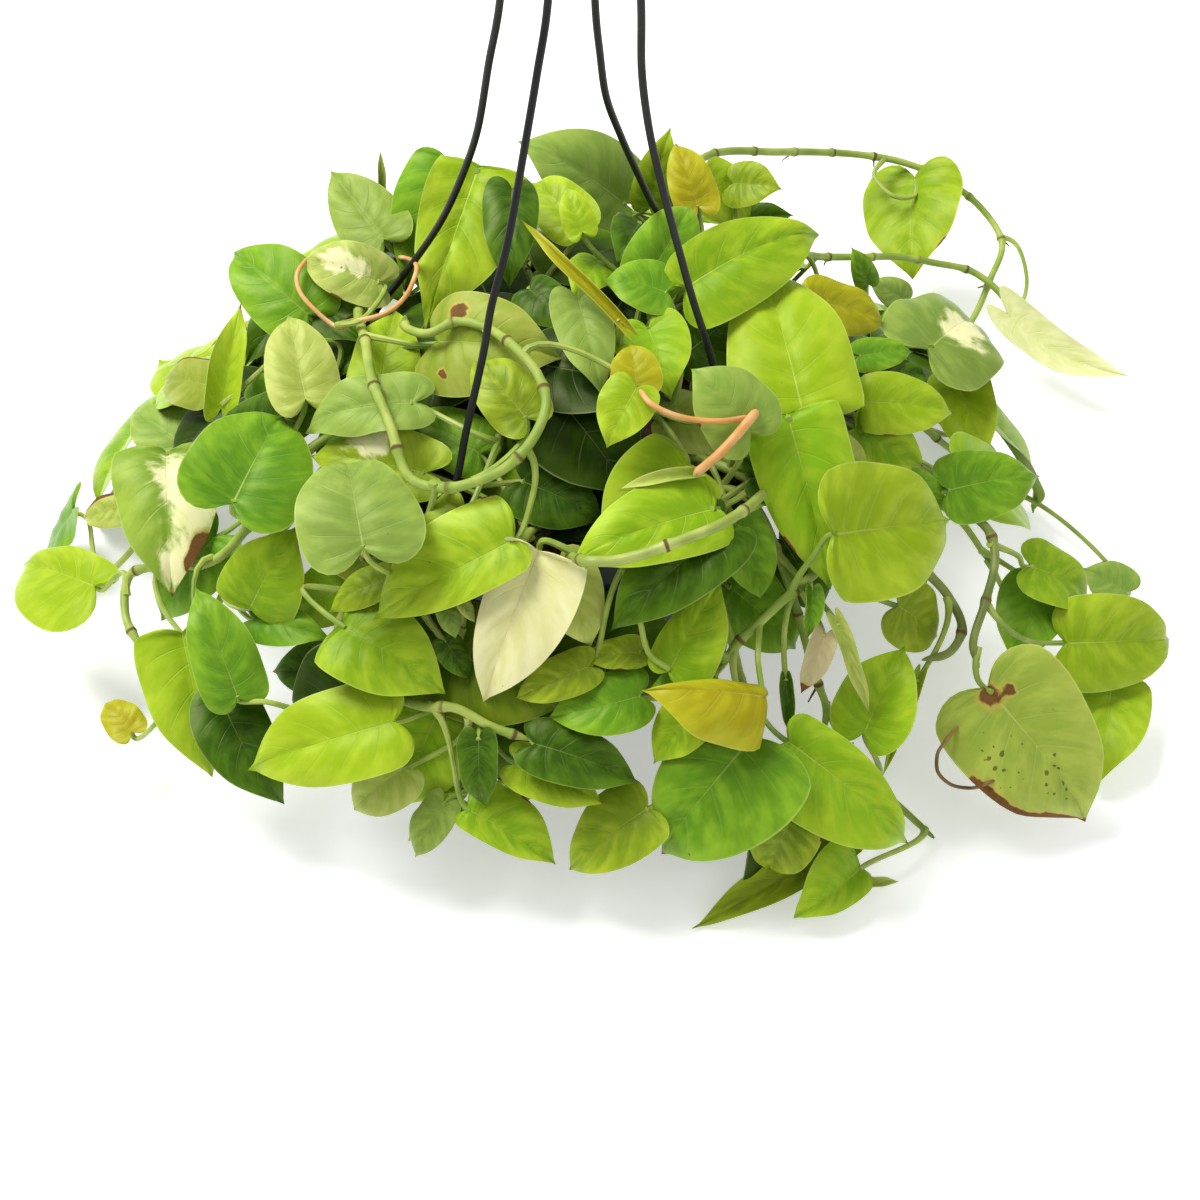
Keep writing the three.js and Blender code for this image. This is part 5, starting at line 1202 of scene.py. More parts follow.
class Shader:
    """A material whose nodes are made one call at a time. Inputs are numbers, colours or sockets."""

    def __init__(self, name):
        self.material = bpy.data.materials.new(name)
        self.material.use_nodes = True
        self.tree = self.material.node_tree
        self.tree.nodes.clear()
        self.surface = self.node("ShaderNodeBsdfPrincipled")
        output = self.node("ShaderNodeOutputMaterial")
        self.tree.links.new(self.surface.outputs[0], output.inputs["Surface"])

    def node(self, kind, settings=None, **inputs):
        made = self.tree.nodes.new(kind)
        for key, value in (settings or {}).items():
            setattr(made, key, value)
        for key, value in inputs.items():
            self.put(made.inputs[key.replace("_", " ")], value)
        return made

    def put(self, socket, value):
        if isinstance(value, bpy.types.NodeSocket):
            self.tree.links.new(value, socket)
        elif isinstance(value, (tuple, list, np.ndarray)) and socket.type == "RGBA":
            socket.default_value = (*[float(c) for c in value[:3]], 1)
        else:
            socket.default_value = value

    def attribute(self, name):
        return self.node("ShaderNodeAttribute", {"attribute_name": name})

    def parts(self, name):
        """The three parts of a vector attribute."""
        return self.node("ShaderNodeSeparateXYZ", Vector=self.attribute(name).outputs["Vector"]).outputs

    def spot(self):
        return self.node("ShaderNodeTexCoord").outputs["Object"]

    def math(self, operation, a, b=0.0, clamp=False):
        made = self.tree.nodes.new("ShaderNodeMath")
        made.operation = operation
        made.use_clamp = clamp
        self.put(made.inputs[0], a)
        self.put(made.inputs[1], b)
        return made.outputs[0]

    def times(self, a, b):
        return self.math("MULTIPLY", a, b)

    def plus(self, a, b, clamp=False):
        return self.math("ADD", a, b, clamp)

    def minus(self, a, b, clamp=False):
        return self.math("SUBTRACT", a, b, clamp)

    def ramp(self, value, low, high, start=0.0, stop=1.0):
        made = self.node("ShaderNodeMapRange", {"interpolation_type": "SMOOTHSTEP"})
        for k, number in enumerate((value, low, high, start, stop)):
            self.put(made.inputs[k], number)
        return made.outputs[0]

    def mix(self, share, a, b):
        made = self.node("ShaderNodeMix", {"data_type": "RGBA"})
        for k, value in ((0, share), (6, a), (7, b)):
            self.put(made.inputs[k], value)
        return made.outputs[2]

    def between(self, share, tints):
        return self.mix(share, linear(tints[0]), linear(tints[1]))

    def noise_at(self, spot, scale, detail, roughness=0.5):
        made = self.node("ShaderNodeTexNoise", Vector=spot, Scale=scale, Detail=detail, Roughness=roughness)
        return made.outputs[0]

    def noise(self, scale, detail=2.0, roughness=0.5):
        return self.noise_at(self.spot(), scale, detail, roughness)

    def cells(self, scale, output=0):
        return self.node("ShaderNodeTexVoronoi", Vector=self.spot(), Scale=scale).outputs[output]

    def bump(self, height, strength, depth):
        made = self.node("ShaderNodeBump", Height=height, Strength=strength, Distance=depth)
        self.put(self.surface.inputs["Normal"], made.outputs[0])

    def look(self, colour, rough, gloss=0.5):
        """The surface's colour, roughness and specular level. The last is the same all over."""
        self.put(self.surface.inputs["Base Color"], colour)
        self.put(self.surface.inputs["Roughness"], rough)
        self.surface.inputs["Specular IOR Level"].default_value = gloss


def blade_material():
    """A leaf blade: veins, lighter streaks, and the cream, brown and specks that its marks ask for."""
    shade = Shader("lime_blade")
    times, plus, minus, ramp = shade.times, shade.plus, shade.minus, shade.ramp
    row, across, under = shade.parts("place")
    brown_mark, cream_mark, speck_mark = shade.parts("marks")
    tint, glow = shade.attribute("tint").outputs["Color"], shade.attribute("glow").outputs["Color"]
    out = shade.math("ABSOLUTE", across)
    along = minus(row, times(times(out, out), VEINS["bend"]))
    leaf_to_leaf = shade.node("ShaderNodeSeparateXYZ", Vector=shade.spot()).outputs[0]
    streak_spot = shade.node(
        "ShaderNodeCombineXYZ", X=times(along, 13.0), Y=times(across, 1.7), Z=times(leaf_to_leaf, 14.0),
    )
    streak = shade.noise_at(streak_spot.outputs[0], 1.0, 3.0, 0.55)
    grain = shade.noise(150.0, 3.0, 0.65)

    # Veins
    turns = shade.math("DIVIDE", minus(along, VEINS["first"]), VEINS["apart"])
    off_vein = shade.math("ABSOLUTE", minus(shade.math("FRACT", plus(turns, 10.5)), 0.5))
    side_vein = times(ramp(off_vein, 0.0, 0.045, 1.0, 0.0), ramp(out, 0.35, 0.95, 1.0, 0.0))
    beside_vein = times(ramp(off_vein, 0.03, 0.3, 1.0, 0.0), ramp(out, 0.15, 0.85, 1.0, 0.0))
    rib_width = ramp(row, 0.0, 0.9, 0.034, 0.012)
    midrib = times(minus(1.0, shade.math("DIVIDE", out, rib_width), True), ramp(row, 0.3, 1.0, 1.0, 0.35))
    margin = ramp(out, 0.968, 0.99)

    # From the blade's body to its lighter stretches
    light = plus(ramp(streak, 0.34, 0.7, 0.03, 0.52), ramp(out, 0.3, 1.0, -0.12, 0.24))
    light = plus(light, ramp(row, 0.25, 1.0, -0.05, 0.22))
    light = minus(light, times(beside_vein, 0.24))
    light = plus(light, ramp(grain, 0.4, 0.75, -0.06, 0.1), True)
    colour = shade.mix(light, tint, glow)
    pale_line = shade.mix(0.4, glow, linear(VEIN_TINT))
    for line, strength in ((side_vein, 0.13), (midrib, 0.6), (margin, 0.42)):
        colour = shade.mix(times(line, strength), colour, pale_line)

    # Marks with ragged edges
    ragged = times(minus(shade.noise(80.0, 4.0, 0.65), 0.5), 0.9)
    ragged_streak = plus(ragged, times(minus(streak, 0.5), 0.8))
    cream = ramp(plus(cream_mark, ragged_streak), 0.3, 0.62)
    colour = shade.mix(cream, colour, shade.between(streak, CREAM_TINT))
    underside = shade.mix(0.5, colour, linear(UNDERSIDE_TINT))
    colour = shade.mix(times(under, 0.7), colour, underside)
    dots = minus(plus(shade.cells(230.0), times(shade.noise(520.0, 3.0), 0.45)), 0.22)
    speck = shade.math("LESS_THAN", dots, plus(times(speck_mark, 0.4), ramp(ragged, 0.16, 0.3, -0.02, 0.05)))
    colour = shade.mix(times(speck, 0.75), colour, linear(SPECK_TINT))
    worn = plus(brown_mark, ragged)
    colour = shade.mix(ramp(worn, 0.2, 0.45, 0.0, 0.65), colour, linear(WORN_TINT))
    brown = ramp(worn, 0.42, 0.54)
    colour = shade.mix(brown, colour, shade.between(grain, DRY_TINT))

    rough = plus(plus(times(grain, 0.2), 0.27), times(under, 0.16))
    shade.look(colour, plus(rough, times(brown, 0.3), True), 0.2)
    shade.surface.inputs["Specular Tint"].default_value = (0.95, 1, 0.5, 1)
    shade.bump(plus(minus(times(side_vein, -0.5), midrib), times(grain, 0.5)), 0.5, 0.0005)
    return shade.material


def stem_material():
    """Stems and stalks: fine stripes along them, and the brown that their marks ask for."""
    shade = Shader("lime_stem")
    times, plus = shade.times, shade.plus
    turn, along, _ = shade.parts("place")
    brown_mark = shade.parts("marks")[0]
    tint, glow = shade.attribute("tint").outputs["Color"], shade.attribute("glow").outputs["Color"]
    stripe_spot = shade.node("ShaderNodeCombineXYZ", X=times(turn, 34.0), Y=times(along, 9.0))
    stripes = shade.noise_at(stripe_spot.outputs[0], 1.0, 3.0)
    colour = shade.mix(shade.ramp(shade.noise(60.0, 3.0), 0.35, 0.7), tint, glow)
    colour = shade.mix(shade.ramp(stripes, 0.5, 0.75, 0.0, 0.3), colour, linear(STRIPE_TINT))
    ragged = times(shade.minus(shade.noise(260.0, 4.0), 0.5), 0.5)
    brown = shade.ramp(plus(brown_mark, ragged), 0.2, 0.6)
    colour = shade.mix(brown, colour, shade.between(shade.noise(300.0), NODE_TINT))
    shade.look(colour, plus(times(brown, 0.35), 0.42), 0.35)
    shade.bump(plus(stripes, times(brown, 0.8)), 0.3, 0.0004)
    return shade.material


def plastic_material(name, tints, rough):
    """Moulded plastic with a fine grain, faint scuffs and a little dust."""
    shade = Shader(name)
    scuff = shade.noise(38.0, 6.0, 0.7)
    colour = shade.between(shade.ramp(scuff, 0.5, 0.75, 0.0, 0.45), tints)
    shade.look(colour, shade.ramp(scuff, 0.3, 0.8, rough, rough + 0.22), 0.45)
    shade.bump(shade.noise(1400.0), 0.12, 0.0003)
    return shade.material


def peat_material():
    """Dark lumpy mix with some lighter bits of bark."""
    shade = Shader("peat_mix")
    lumps = shade.noise(120.0, 6.0, 0.7)
    bits = shade.cells(260.0, output=1)
    colour = shade.between(lumps, PEAT_TINT)
    shade.look(shade.mix(shade.ramp(bits, 0.55, 0.95, 0.0, 0.4), colour, linear(BARK_TINT)), 0.93)
    shade.bump(lumps, 0.8, 0.002)
    return shade.material


def floor_material():
    shade = Shader("glowing_pale_floor")
    shade.look(shade.between(shade.noise(3.0), FLOOR_TINT), 0.7)
    # Painted light: the floor glows a little, which pales the shadows cast on it and lights the leaves from
    # below.
    shade.surface.inputs["Emission Color"].default_value = (1, 1, 1, 1)
    shade.surface.inputs["Emission Strength"].default_value = 0.38
    return shade.material


# Pot, soil and hanger


def lathe(profile, segments):
    """A turned shape: its corners and faces, from a closed profile of radius and height."""
    points, faces = [], []
    for i in range(segments):
        points += [polar(r, 2 * math.pi * i / segments, z) for r, z in profile]
    n = len(profile)
    for i in range(segments):
        j = (i + 1) % segments
        for k in range(n):
            m = (k + 1) % n
            if profile[k][0] == 0 and profile[m][0] == 0:
                continue
            face = [i * n + k, j * n + k, j * n + m, i * n + m]
            if profile[k][0] == 0:
                face = [k, j * n + m, i * n + m]
            elif profile[m][0] == 0:
                face = [i * n + k, j * n + k, m]
            faces.append(tuple(face))
    return points, faces


def plain_mesh(name, points, faces, material, sharp=38):
    """The object of a mesh of one material, from points in millimetres."""
    mesh = bpy.data.meshes.new(name)
    mesh.from_pydata(np.array(points) * MM, [], faces)
    return finished(mesh, [material], sharp)


def rounded(corners, radius, steps=4):
    """A closed profile with each corner off the axis rounded."""
    profile = []
    count = len(corners)
    for k, corner in enumerate(corners):
        here = vec(*corner)
        if corner[0] == 0:
            profile.append(tuple(here))
            continue
        before, after = vec(*corners[k - 1]), vec(*corners[(k + 1) % count])
        cut = min(radius, distance(here, before) * 0.4, distance(here, after) * 0.4)
        a, b = here + unit(before - here) * cut, here + unit(after - here) * cut
        for i in range(steps + 1):
            t = i / steps
            profile.append(tuple((1 - t) ** 2 * a + 2 * t * (1 - t) * here + t**2 * b))
    return profile


def inner_radius(z):
    """The radius of the pot's inside at a height."""
    low = FOOT_RADIUS + (RIM_RADIUS - RIM_STEP - FOOT_RADIUS) * POT_WALL / (POT_HEIGHT - RIM_DROP) - POT_WALL
    high = RIM_RADIUS - RIM_STEP - POT_WALL
    floor = POT_WALL + 1
    return low + (high - low) * (z - floor) / (POT_HEIGHT - floor)


def make_pot():
    """A tapered pot with a foot ring, a raised band and a turned-down rim."""
    top = RIM_RADIUS - RIM_STEP
    rim_base = POT_HEIGHT - RIM_DROP
    rim_roof = POT_HEIGHT - 3.4
    skirt = RIM_RADIUS - 1.7
    floor = POT_WALL + 1

    def outer(z):
        return FOOT_RADIUS + (top - FOOT_RADIUS) * z / rim_base

    foot_ring = [
        (0, 1.4), (FOOT_RADIUS - 9, 1.4), (FOOT_RADIUS - 8, 0), (FOOT_RADIUS - 1, 0),
        (FOOT_RADIUS + 0.4, 1.6), (outer(9) + 0.4, 9), (outer(10) - 0.7, 10.6),
    ]
    band = [(outer(88), 88), (outer(89) + 0.9, 89.2), (outer(93) + 0.9, 92.8), (outer(94), 94)]
    rim = [
        (top, rim_base), (top, rim_roof), (skirt, rim_roof), (skirt, rim_base), (RIM_RADIUS, rim_base),
        (RIM_RADIUS, POT_HEIGHT), (inner_radius(POT_HEIGHT), POT_HEIGHT),
    ]
    corners = [*foot_ring, *band, *rim, (inner_radius(floor), floor), (0, floor)]
    points, faces = lathe(rounded(corners, 0.9), 128)
    pot = plain_mesh("moulded_pot", points, faces, plastic_material("pot_plastic", POT_TINT, 0.42))
    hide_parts("pot")


SOIL = {"rings": 22, "spokes": 72, "crown_from": 34, "edge_from": 80, "bits": 170, "gap": 0.7}


def soil_top(draw, edge):
    """The uneven top: rings of points from the middle outward."""
    rings, spokes = SOIL["rings"], SOIL["spokes"]
    points, faces = [], []
    for i in range(rings + 1):
        r = edge * i / rings
        crown = SOIL_CROWN * (1 - smoothstep(SOIL["crown_from"], edge, r))
        crown = crown - 2.5 * smoothstep(SOIL["edge_from"], edge, r)
        for j in range(spokes):
            turn = 2 * math.pi * j / spokes
            lump = 1.3 * math.sin(r * 0.31 + 3 * math.sin(turn * 5)) + between(draw, -0.8, 0.8)
            points.append(polar(r, turn, SOIL_TOP - 0.6 + crown + lump * (0 < i < rings)))
    for i in range(rings):
        for j in range(spokes):
            k = (j + 1) % spokes
            face = [i * spokes + j, (i + 1) * spokes + j, (i + 1) * spokes + k, i * spokes + k]
            faces.append(tuple(face if i else face[1:3] + [0]))
    return points, faces


def bark_bit(draw, edge):
    """The corners of a flat bit of bark that lies on the mix."""
    r, turn = edge * 0.95 * math.sqrt(draw()), 2 * math.pi * draw()
    size = vec(between(draw, 2, 7), between(draw, 1.5, 4.5), between(draw, 0.8, 2.2))
    crown = SOIL_CROWN * (1 - smoothstep(SOIL["crown_from"], edge, r))
    heap = SOIL_TOP + crown + between(draw, -1, 0.2)
    spin = 2 * math.pi * draw()
    ahead, aside = polar(1, spin), polar(1, spin + math.pi / 2)
    corners = []
    for dz in (-1, 1):
        for dx, dy in ((-1, -1), (1, -1), (1, 1), (-1, 1)):
            x = dx * size[0] / 2 * between(draw, 0.8, 1.2)
            y = dy * size[1] / 2 * between(draw, 0.7, 1.2)
            rise = heap + dz * size[2] / 2 + dx * between(draw, -0.15, 0.35)
            corners.append(polar(r, turn, rise) + ahead * x + aside * y)
    return corners


def make_soil():
    """The potting mix: an uneven top with bark bits, over a plain plug."""
    draw = seeded(77)
    rings, spokes = SOIL["rings"], SOIL["spokes"]
    edge = inner_radius(SOIL_TOP - 3) - SOIL["gap"]
    points, faces = soil_top(draw, edge)
    low, floor = len(points), POT_WALL + 1.4
    for j in range(spokes):
        k = (j + 1) % spokes
        points.append(polar(inner_radius(floor) - SOIL["gap"], 2 * math.pi * j / spokes, floor))
        faces.append((rings * spokes + k, rings * spokes + j, low + j, low + k))
    faces.append(tuple(reversed(range(low, low + spokes))))
    box = ((3, 2, 1, 0), (4, 5, 6, 7), (0, 1, 5, 4), (1, 2, 6, 5), (2, 3, 7, 6), (3, 0, 4, 7))
    for _ in range(SOIL["bits"]):
        faces += [tuple(len(points) + k for k in face) for face in box]
        points += bark_bit(draw, edge)
    soil = plain_mesh("potting_mix", points, faces, peat_material(), 30)
    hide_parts("soil")


# The strands: each one's node, its place round the rim and the picture points that it passes
STRANDS = (
    ("strand_left", 152, ((500, 0), (489, 62), (477, 132), (462, 176), (440, 223), (400, 280), (380, 305))),
    (
        "strand_near", 240,
        ((548, 0), (537, 74), (525, 145), (507, 245), (491, 308), (484, 350), (466, 432), (456, 483)),
    ),
    ("strand_far", 50, ((595, 0), (600, 54), (606, 96), (620, 134), (637, 172), (652, 203), (666, 225))),
    (
        "strand_right", 332,
        ((641, 0), (642, 74), (650, 134), (663, 190), (679, 250), (692, 297), (706, 340), (722, 388)),
    ),
)


def strand_curve(azimuth, spots):
    """A strand from its foot on the rim, as the picture shows it, and on to the hub."""
    out = polar(1, rad(azimuth))
    foot = out * (RIM_RADIUS - RIM_STEP / 2 - 1) + UP * (POT_HEIGHT + 2)
    low = [in_plane(spot, azimuth) for spot in reversed(spots)]
    end = vec(HUB["x"], HUB["y"], HUB["low"] - CLEARANCE) + out * (HUB["radius"] - STRAND_RADIUS - 2)
    rise = lerp(low[-1], end, 0.55) + out * 5
    return smooth([foot, *[p for p in low if p[2] > POT_HEIGHT + 14], rise, end - UP * 8, end])


def clip_mesh(azimuth):
    """The clip over the rim, with rounded edges."""
    inner = (RIM_RADIUS - RIM_STEP - POT_WALL - 1) * math.cos(math.pi / 24) - CLEARANCE - 0.1
    outer = RIM_RADIUS + CLEARANCE
    under = POT_HEIGHT + CLEARANCE
    over = under + CLIP_WALL
    corners = [
        (inner - CLIP_WALL, POT_HEIGHT - 5), (inner, POT_HEIGHT - 5), (inner, under),
        (outer, under), (outer, POT_HEIGHT - CLIP_DROP), (outer + CLIP_WALL, POT_HEIGHT - CLIP_DROP),
        (outer + CLIP_WALL, over), (inner - CLIP_WALL, over),
    ]
    outline = rounded(corners, 0.9, 3)
    c, s = math.cos(rad(azimuth)), math.sin(rad(azimuth))
    points, faces = [], []
    layers = ((-0.5, 0.35), (-0.42, 0), (0.42, 0), (0.5, 0.35))
    centre = vec((inner + outer) / 2, POT_HEIGHT)
    for across, pull in layers:
        for r, z in outline:
            toward = unit(centre - vec(r, z)) * pull
            x, y = r + toward[0], across * CLIP_WIDTH
            points.append(vec(x * c - y * s, x * s + y * c, z + toward[1]))
    n = len(outline)
    for layer in range(len(layers) - 1):
        for k in range(n):
            m = (k + 1) % n
            faces.append((layer * n + k, (layer + 1) * n + k, (layer + 1) * n + m, layer * n + m))
    faces.append(tuple(range(n)))
    faces.append(tuple(reversed(range((len(layers) - 1) * n, len(layers) * n))))
    return points, faces


def joined(one, other):
    """Two meshes' corners and faces as those of one."""
    (points, faces), (corners, sides) = one, other
    return [*points, *corners], [*faces, *(tuple(k + len(points) for k in face) for face in sides)]


def make_hanger():
    """The strands with their clips and a short collar round each strand's foot, and the hub with its hook."""
    plastic = plastic_material("hanger_plastic", HANGER_TINT, 0.42)
    for name, azimuth, spots in STRANDS:
        way = spaced(strand_curve(azimuth, spots), 90)[0]
        away = np.linalg.norm(way - way[0], axis=1)
        radii = STRAND_LOOK + 1.5 * np.exp(-((away / 5) ** 2))
        points, faces = joined(clip_mesh(azimuth), tube(way, radii, 14))
        strand = plain_mesh(name.replace("strand", "hanger_strand"), points, faces, plastic)
        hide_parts(name)
    x, y, low, radius, height = (HUB[key] for key in ("x", "y", "low", "radius", "height"))
    top = low + height
    corners = [
        (0, low), (radius, low), (radius, low + height * 0.28), (radius - 0.8, low + height * 0.34),
        (radius, low + height * 0.4), (radius, low + height * 0.6), (HOOK["wire"] + 1.5, top), (0, top),
    ]
    points, faces = lathe(rounded(corners, 0.8), 64)
    hub = [p + vec(x, y, 0) for p in points], faces
    eye = top + HOOK["shank"] + HOOK["bend"]
    path = [vec(x, y, top - 4), vec(x, y, top + HOOK["shank"] * 0.5)]
    for turn in np.radians(np.linspace(HOOK["from"], HOOK["to"], 10)):
        path.append(vec(x + HOOK["bend"] * math.cos(turn), y, eye + HOOK["bend"] * math.sin(turn)))
    way = spaced(smooth(path), 72)[0]
    left = np.arange(len(way))[::-1]
    radii = HOOK["wire"] * np.sqrt(np.clip((left + 0.6) / 3, 0.05, 1))
    points, faces = joined(hub, tube(way, radii, 18))
    hook = plain_mesh("hanger_hub_and_hook", points, faces, plastic)
    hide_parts("hanger_hook")


# The plant


def plant_solids():
    """Every stem that the solids have, by its name, with the leaves that grew on it."""
    stems = [(stem, BOLD_STEM_RADIUS, BOLD_SPAN) for stem in SEEN_STEMS]
    stems += [(radial_stem(i), STEM_RADIUS, THIN_SPAN) for i in range(RADIAL_STEMS)]
    stems += [(crown_stem(i), STEM_RADIUS, THIN_SPAN) for i in range(CROWN_STEMS)]
    vines = {}
    for stem, radius, span in stems:
        if stem["name"] in solids.names:
            vines[stem["name"]] = {**find_stem(stem, radius, span), "radius": radius, "leaves": []}
    fills = [under_leaf(i) for i in range(UNDER_FILL["tries"])]
    fills += [round_leaf(i) for i in range(ROUND_TRIES)]
    for number, leaf in enumerate(SEEN_LEAVES + fills):
        found = find_leaf(leaf)
        if found:
            moved_leaf, name = found
            moved_leaf["number"] = number
            moved_leaf["stalk"] = find_stalk(moved_leaf, vines[name]["rings"])
            vines[name]["leaves"].append(moved_leaf)
    return vines


def coarse_blade(leaf):
    """The corners and faces of the faceted blade's middle surface."""
    right, left = ([plan_spot(leaf, spot, side) for spot in (LOBE, BELLY, TAPER)] for side in (1, -1))
    length = leaf["length"]
    plan = [(0, 0), *right, (0, length), *reversed(left), *((0, share * length) for share in RIB_SHARES)]
    points = blade_spots(leaf, *np.array(plan).T)
    faces = [
        (0, 1, 8), (1, 2, 8), (2, 9, 8), (2, 3, 9), (3, 4, 9), (4, 5, 9), (5, 6, 9), (6, 8, 9), (6, 7, 8),
        (7, 0, 8),
    ]
    return [tuple(p) for p in points], faces


class Crowd:
    """What is in place already, to keep new leaves clear of it."""

    def __init__(self):
        self.points, self.faces = [], []
        self.tree = None

    def add(self, points, faces):
        start = len(self.points)
        self.points += points
        self.faces += [tuple(k + start for k in face) for face in faces]
        self.tree = None

    def add_node(self, name):
        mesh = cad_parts[name].data
        points = [tuple(v.co / MM) for v in mesh.vertices]
        self.add(points, [tuple(p.vertices) for p in mesh.polygons])

    def meets(self, points, faces):
        if self.tree is None:
            self.tree = BVHTree.FromPolygons(self.points, self.faces)
        return bool(self.tree.overlap(BVHTree.FromPolygons(points, faces)))


# Leaves inside the plant: they lie under the others, and fill it evenly. Their colours are darkened by the
# shade factor, as painted shade.
INNER = {"tries": 1000, "most": 150, "deepest": 34, "shallowest": 9, "shade": 0.42, "sectors": 6}
# Many inner leaves are of the darkest kind, whose colour is partly painted shade.
INNER_KINDS = ("deep", "green", "deep", "green", "olive", "limegreen", "green", "deep", "greygreen", "lime")
INNER_STALK = {"least": 12, "usual": 34, "most": 90, "choices": 8, "radius": 0.9}


def inner_leaf(i):
    draw = seeded(20000 + 41 * i)
    azimuth = (i * GOLDEN_ANGLE) % 360
    reach = mound_reach(azimuth, 0.08 + 0.84 * math.sqrt(draw()))
    lift = between(draw, -INNER["shallowest"], -INNER["deepest"])
    kind = INNER_KINDS[int(draw() * len(INNER_KINDS))]
    return placed(kind, azimuth, reach, lift, between(draw, -75, 75), between(draw, 44, 68), draw)


def stands_out(points, outer):
    """Whether part of a leaf would show past the outline that the others draw from the near side."""
    return any(outer.ray_cast(EYE, unit(vec(*p) - EYE))[0] is None for p in points)


def nearest_start(leaf, vines, crowd):
    """The curve of a new leaf's stalk, and the stem node that it starts from, or None."""
    choices = []
    for vine in vines.values():
        for start, along in stem_nodes(vine["rings"]):
            gap = distance(start, leaf["base"])
            if INNER_STALK["least"] < gap < INNER_STALK["most"] and start[2] > STALK_PULL["low"]:
                ahead = unit(start - leaf["base"]) @ leaf["axis"]
                choices.append((abs(gap - INNER_STALK["usual"]) + 14 * ahead, len(choices), start, along))
    for _, _, start, along in sorted(choices, key=lambda choice: choice[:2])[:INNER_STALK["choices"]]:
        for bend in STALK_BENDS:
            curve = stalk_curve(leaf, start, along, bend)
            points, faces = tube(spaced(curve, 5)[0][1:-1], INNER_STALK["radius"], 3)
            if not crowd.meets([tuple(p) for p in points], faces):
                return curve, start
    return None


def plant_inside(vines, crowd):
    """The inner leaves, each with its stalk, that find room behind what is there."""
    outer = BVHTree.FromPolygons(crowd.points, crowd.faces)
    found = []
    for i in range(INNER["tries"]):
        if len(found) == INNER["most"]:
            break
        leaf = inner_leaf(i)
        points, faces = coarse_blade(leaf)
        if crowd.meets(points, faces) or stands_out(points, outer):
            continue
        stalk = nearest_start(leaf, vines, crowd)
        if stalk is None:
            continue
        # Painted shade: the inner leaf's colours are darkened.
        leaf.update(stalk=stalk, number=2000 + i, shade=INNER["shade"])
        crowd.add(points, faces)
        found.append(leaf)
    return found


# Thin stalks and runners that lie over the leaves: their radius, and the picture points that they pass
OVER_LEAVES = (
    (
        1.0, PEACH_TINT,
        ((383, 254), (416, 273), (405, 297), (386, 313), (357, 321), (335, 326), (316, 311), (300, 292),
         (297, 275), (306, 259)),
    ),
    (1.15, PEACH_TINT, ((640, 390), (650, 403), (671, 414), (697, 420), (722, 421), (750, 417))),
    (1.9, PEACH_TINT, ((757, 411), (747, 423), (736, 436), (717, 456), (694, 475))),
    (
        2.1, RUNNER_TINT,
        ((568, 556), (590, 561), (612, 561), (636, 556), (660, 548), (713, 528), (740, 513), (764, 493)),
    ),
    (
        0.8, TENDRIL_TINT,
        ((958, 726), (945, 742), (937, 757), (938, 772), (950, 784), (968, 788), (986, 784), (1000, 777)),
    ),
)
OVER_GAP = 4.5
RUNNER_NODES = {"apart": 36, "rise": 0.5, "spread": 1.8, "brown": 0.8}


def add_over_leaves(piece, crowd):
    """Lays each stalk on what its picture points show, a little above it between its ends."""
    tree = BVHTree.FromPolygons(crowd.points, crowd.faces)
    for radius, tints, spots in OVER_LEAVES:
        rays = [sightline(spot) for spot in spots]
        hits = [
            tree.ray_cast(EYE, ray)[3] or distance(on_mound(spot, 4), EYE)
            for ray, spot in zip(rays, spots)
        ]
        near = [min(hits[max(0, k - 1):k + 2]) - radius - OVER_GAP for k in range(len(hits))]
        near[0], near[-1] = hits[0] - radius, hits[-1] - radius
        curve = smooth([EYE + ray * reach for ray, reach in zip(rays, near)])
        points, length = spaced(curve, 12 * len(spots))
        along = np.linspace(0, length, len(points))
        radii = radius * np.sqrt(np.clip((np.minimum(along, length - along) + 0.4) / 3, 0.1, 1))
        brown = np.zeros(len(points))
        if tints == RUNNER_TINT:
            off_node = np.abs(along % RUNNER_NODES["apart"] - RUNNER_NODES["apart"] / 2)
            radii = radii + RUNNER_NODES["rise"] * np.exp(-((off_node / RUNNER_NODES["spread"]) ** 2))
            brown = RUNNER_NODES["brown"] * np.exp(-(off_node**2))
        add_tube(piece, points, radii, 10, tints, brown)


def add_leaf(piece, leaf):
    """A fine blade and its stalk."""
    fine_blade(piece, leaf, 4000 + leaf["number"])
    add_stalk(piece, leaf, *leaf["stalk"])


def sector(leaf):
    """Which of the sectors round the pot the leaf's middle lies in."""
    middle = leaf["base"] + leaf["axis"] * leaf["length"] / 2
    turn = math.atan2(middle[1], middle[0]) % (2 * math.pi)
    return int(turn / (2 * math.pi) * INNER["sectors"]) % INNER["sectors"]


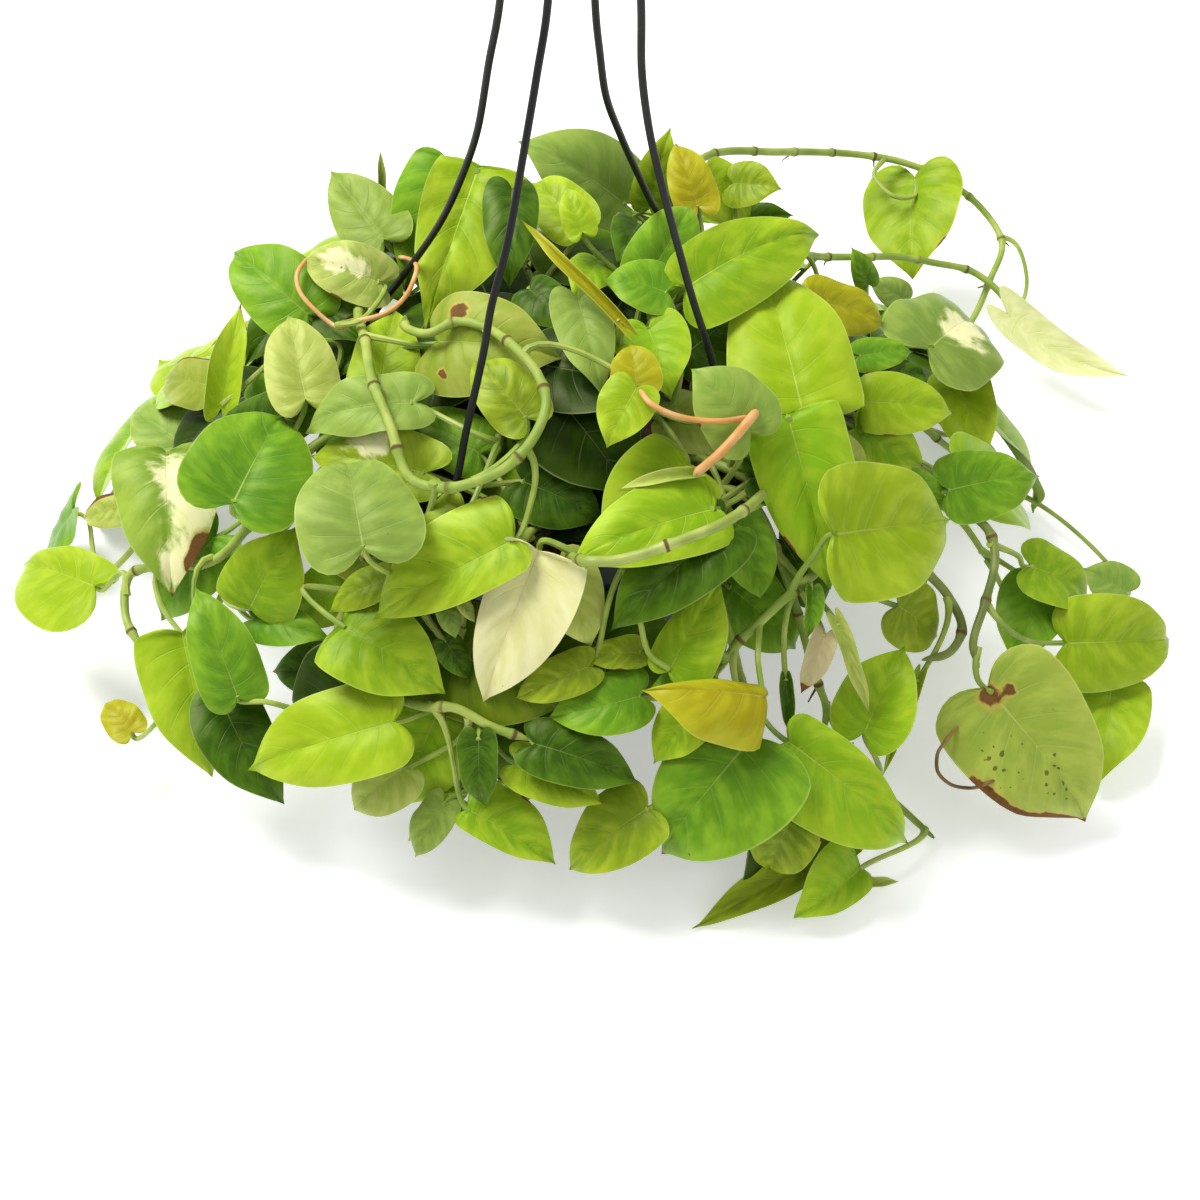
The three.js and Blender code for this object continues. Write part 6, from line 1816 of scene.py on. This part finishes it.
def make_plant():
    """The leafy stems, the leaves inside the plant and the stalks that lie over the leaves."""
    materials = [blade_material(), stem_material()]
    vines = plant_solids()
    crowd = Crowd()
    for name in ("pot", "soil", "strand_left", "strand_near", "strand_far", "strand_right"):
        crowd.add_node(name)
    leaves = [leaf for vine in vines.values() for leaf in vine["leaves"]]
    for leaf in leaves:
        crowd.add(*coarse_blade(leaf))
    inside = plant_inside(vines, crowd)
    starts = [leaf["stalk"][1] for leaf in leaves + inside]
    for order, (name, vine) in enumerate(vines.items()):
        piece = Piece(name.replace("vine", "leafy_stem"))
        first = STEM_NODES["first"] + 5 * (order % 3)
        bends = np.arange(first, vine["length"] - 6, STEM_NODES["apart"])
        tints = OLIVE_STEM_TINT if name in ("vine_right", "vine_right_low") else STEM_TINT
        vine["grown"] = grown_length(vine, starts)
        add_stem(piece, vine, vine["radius"], bends, tints, 300 + order)
        for leaf in vine["leaves"]:
            add_leaf(piece, leaf)
        made = piece.build(materials)
        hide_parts(name)
    for number in range(INNER["sectors"]):
        piece = Piece(f"inner_leaves_{number + 1}")
        for leaf in inside:
            if sector(leaf) == number:
                add_leaf(piece, leaf)
        made = piece.build(materials)
    piece = Piece("stalks_over_leaves")
    add_over_leaves(piece, crowd)
    made = piece.build(materials)


# Floor, light and camera


# Each lamp's name, place in metres, size and power
LAMPS = (("key", (-0.75, 0.35, 1.6), 0.9, 35), ("fill", (1.2, -0.9, 1.4), 1.6, 6))
ROOM_LIGHT = {"colour": (1.0, 0.995, 0.97, 1), "strength": 0.48}
AIM_HEIGHT = 0.12
SENSOR_WIDTH = 36


def make_stage():
    """A plain pale floor that glows a little as painted light, an even room and two soft lamps."""
    mesh = bpy.data.meshes.new("floor")
    reach = 6
    corners = [(-reach, -reach, 0), (reach, -reach, 0), (reach, reach, 0), (-reach, reach, 0)]
    mesh.from_pydata(corners, [], [(0, 1, 2, 3)])
    mesh.materials.append(floor_material())
    floor = link(bpy.data.objects.new("floor", mesh))
    floor.location.z = -0.0005
    world = bpy.data.worlds.new("soft_room")
    bpy.context.scene.world = world
    world.use_nodes = True
    room = world.node_tree.nodes["Background"].inputs
    room["Color"].default_value = ROOM_LIGHT["colour"]
    room["Strength"].default_value = ROOM_LIGHT["strength"]
    for name, spot, size, power in LAMPS:
        light = bpy.data.lights.new(name, "AREA")
        light.energy, light.size = power, size
        lamp = link(bpy.data.objects.new(name, light))
        lamp.location = spot
        lamp.rotation_mode = "QUATERNION"
        aim = -lamp.location
        aim.z += AIM_HEIGHT
        lamp.rotation_quaternion = aim.to_track_quat("-Z", "Y")


def make_camera():
    data = bpy.data.cameras.new("camera")
    data.sensor_width = SENSOR_WIDTH
    data.lens = SENSOR_WIDTH * VIEW["focal"] / (2 * VIEW["middle"])
    camera = link(bpy.data.objects.new("camera", data))
    camera.location = EYE * MM
    camera.rotation_euler = (math.pi / 2 - PITCH, 0, -YAW)
    bpy.context.scene.camera = camera


make_camera()
make_stage()
bpy.context.scene.view_settings.view_transform = "Standard"
make_pot()
make_soil()
make_hanger()
make_plant()
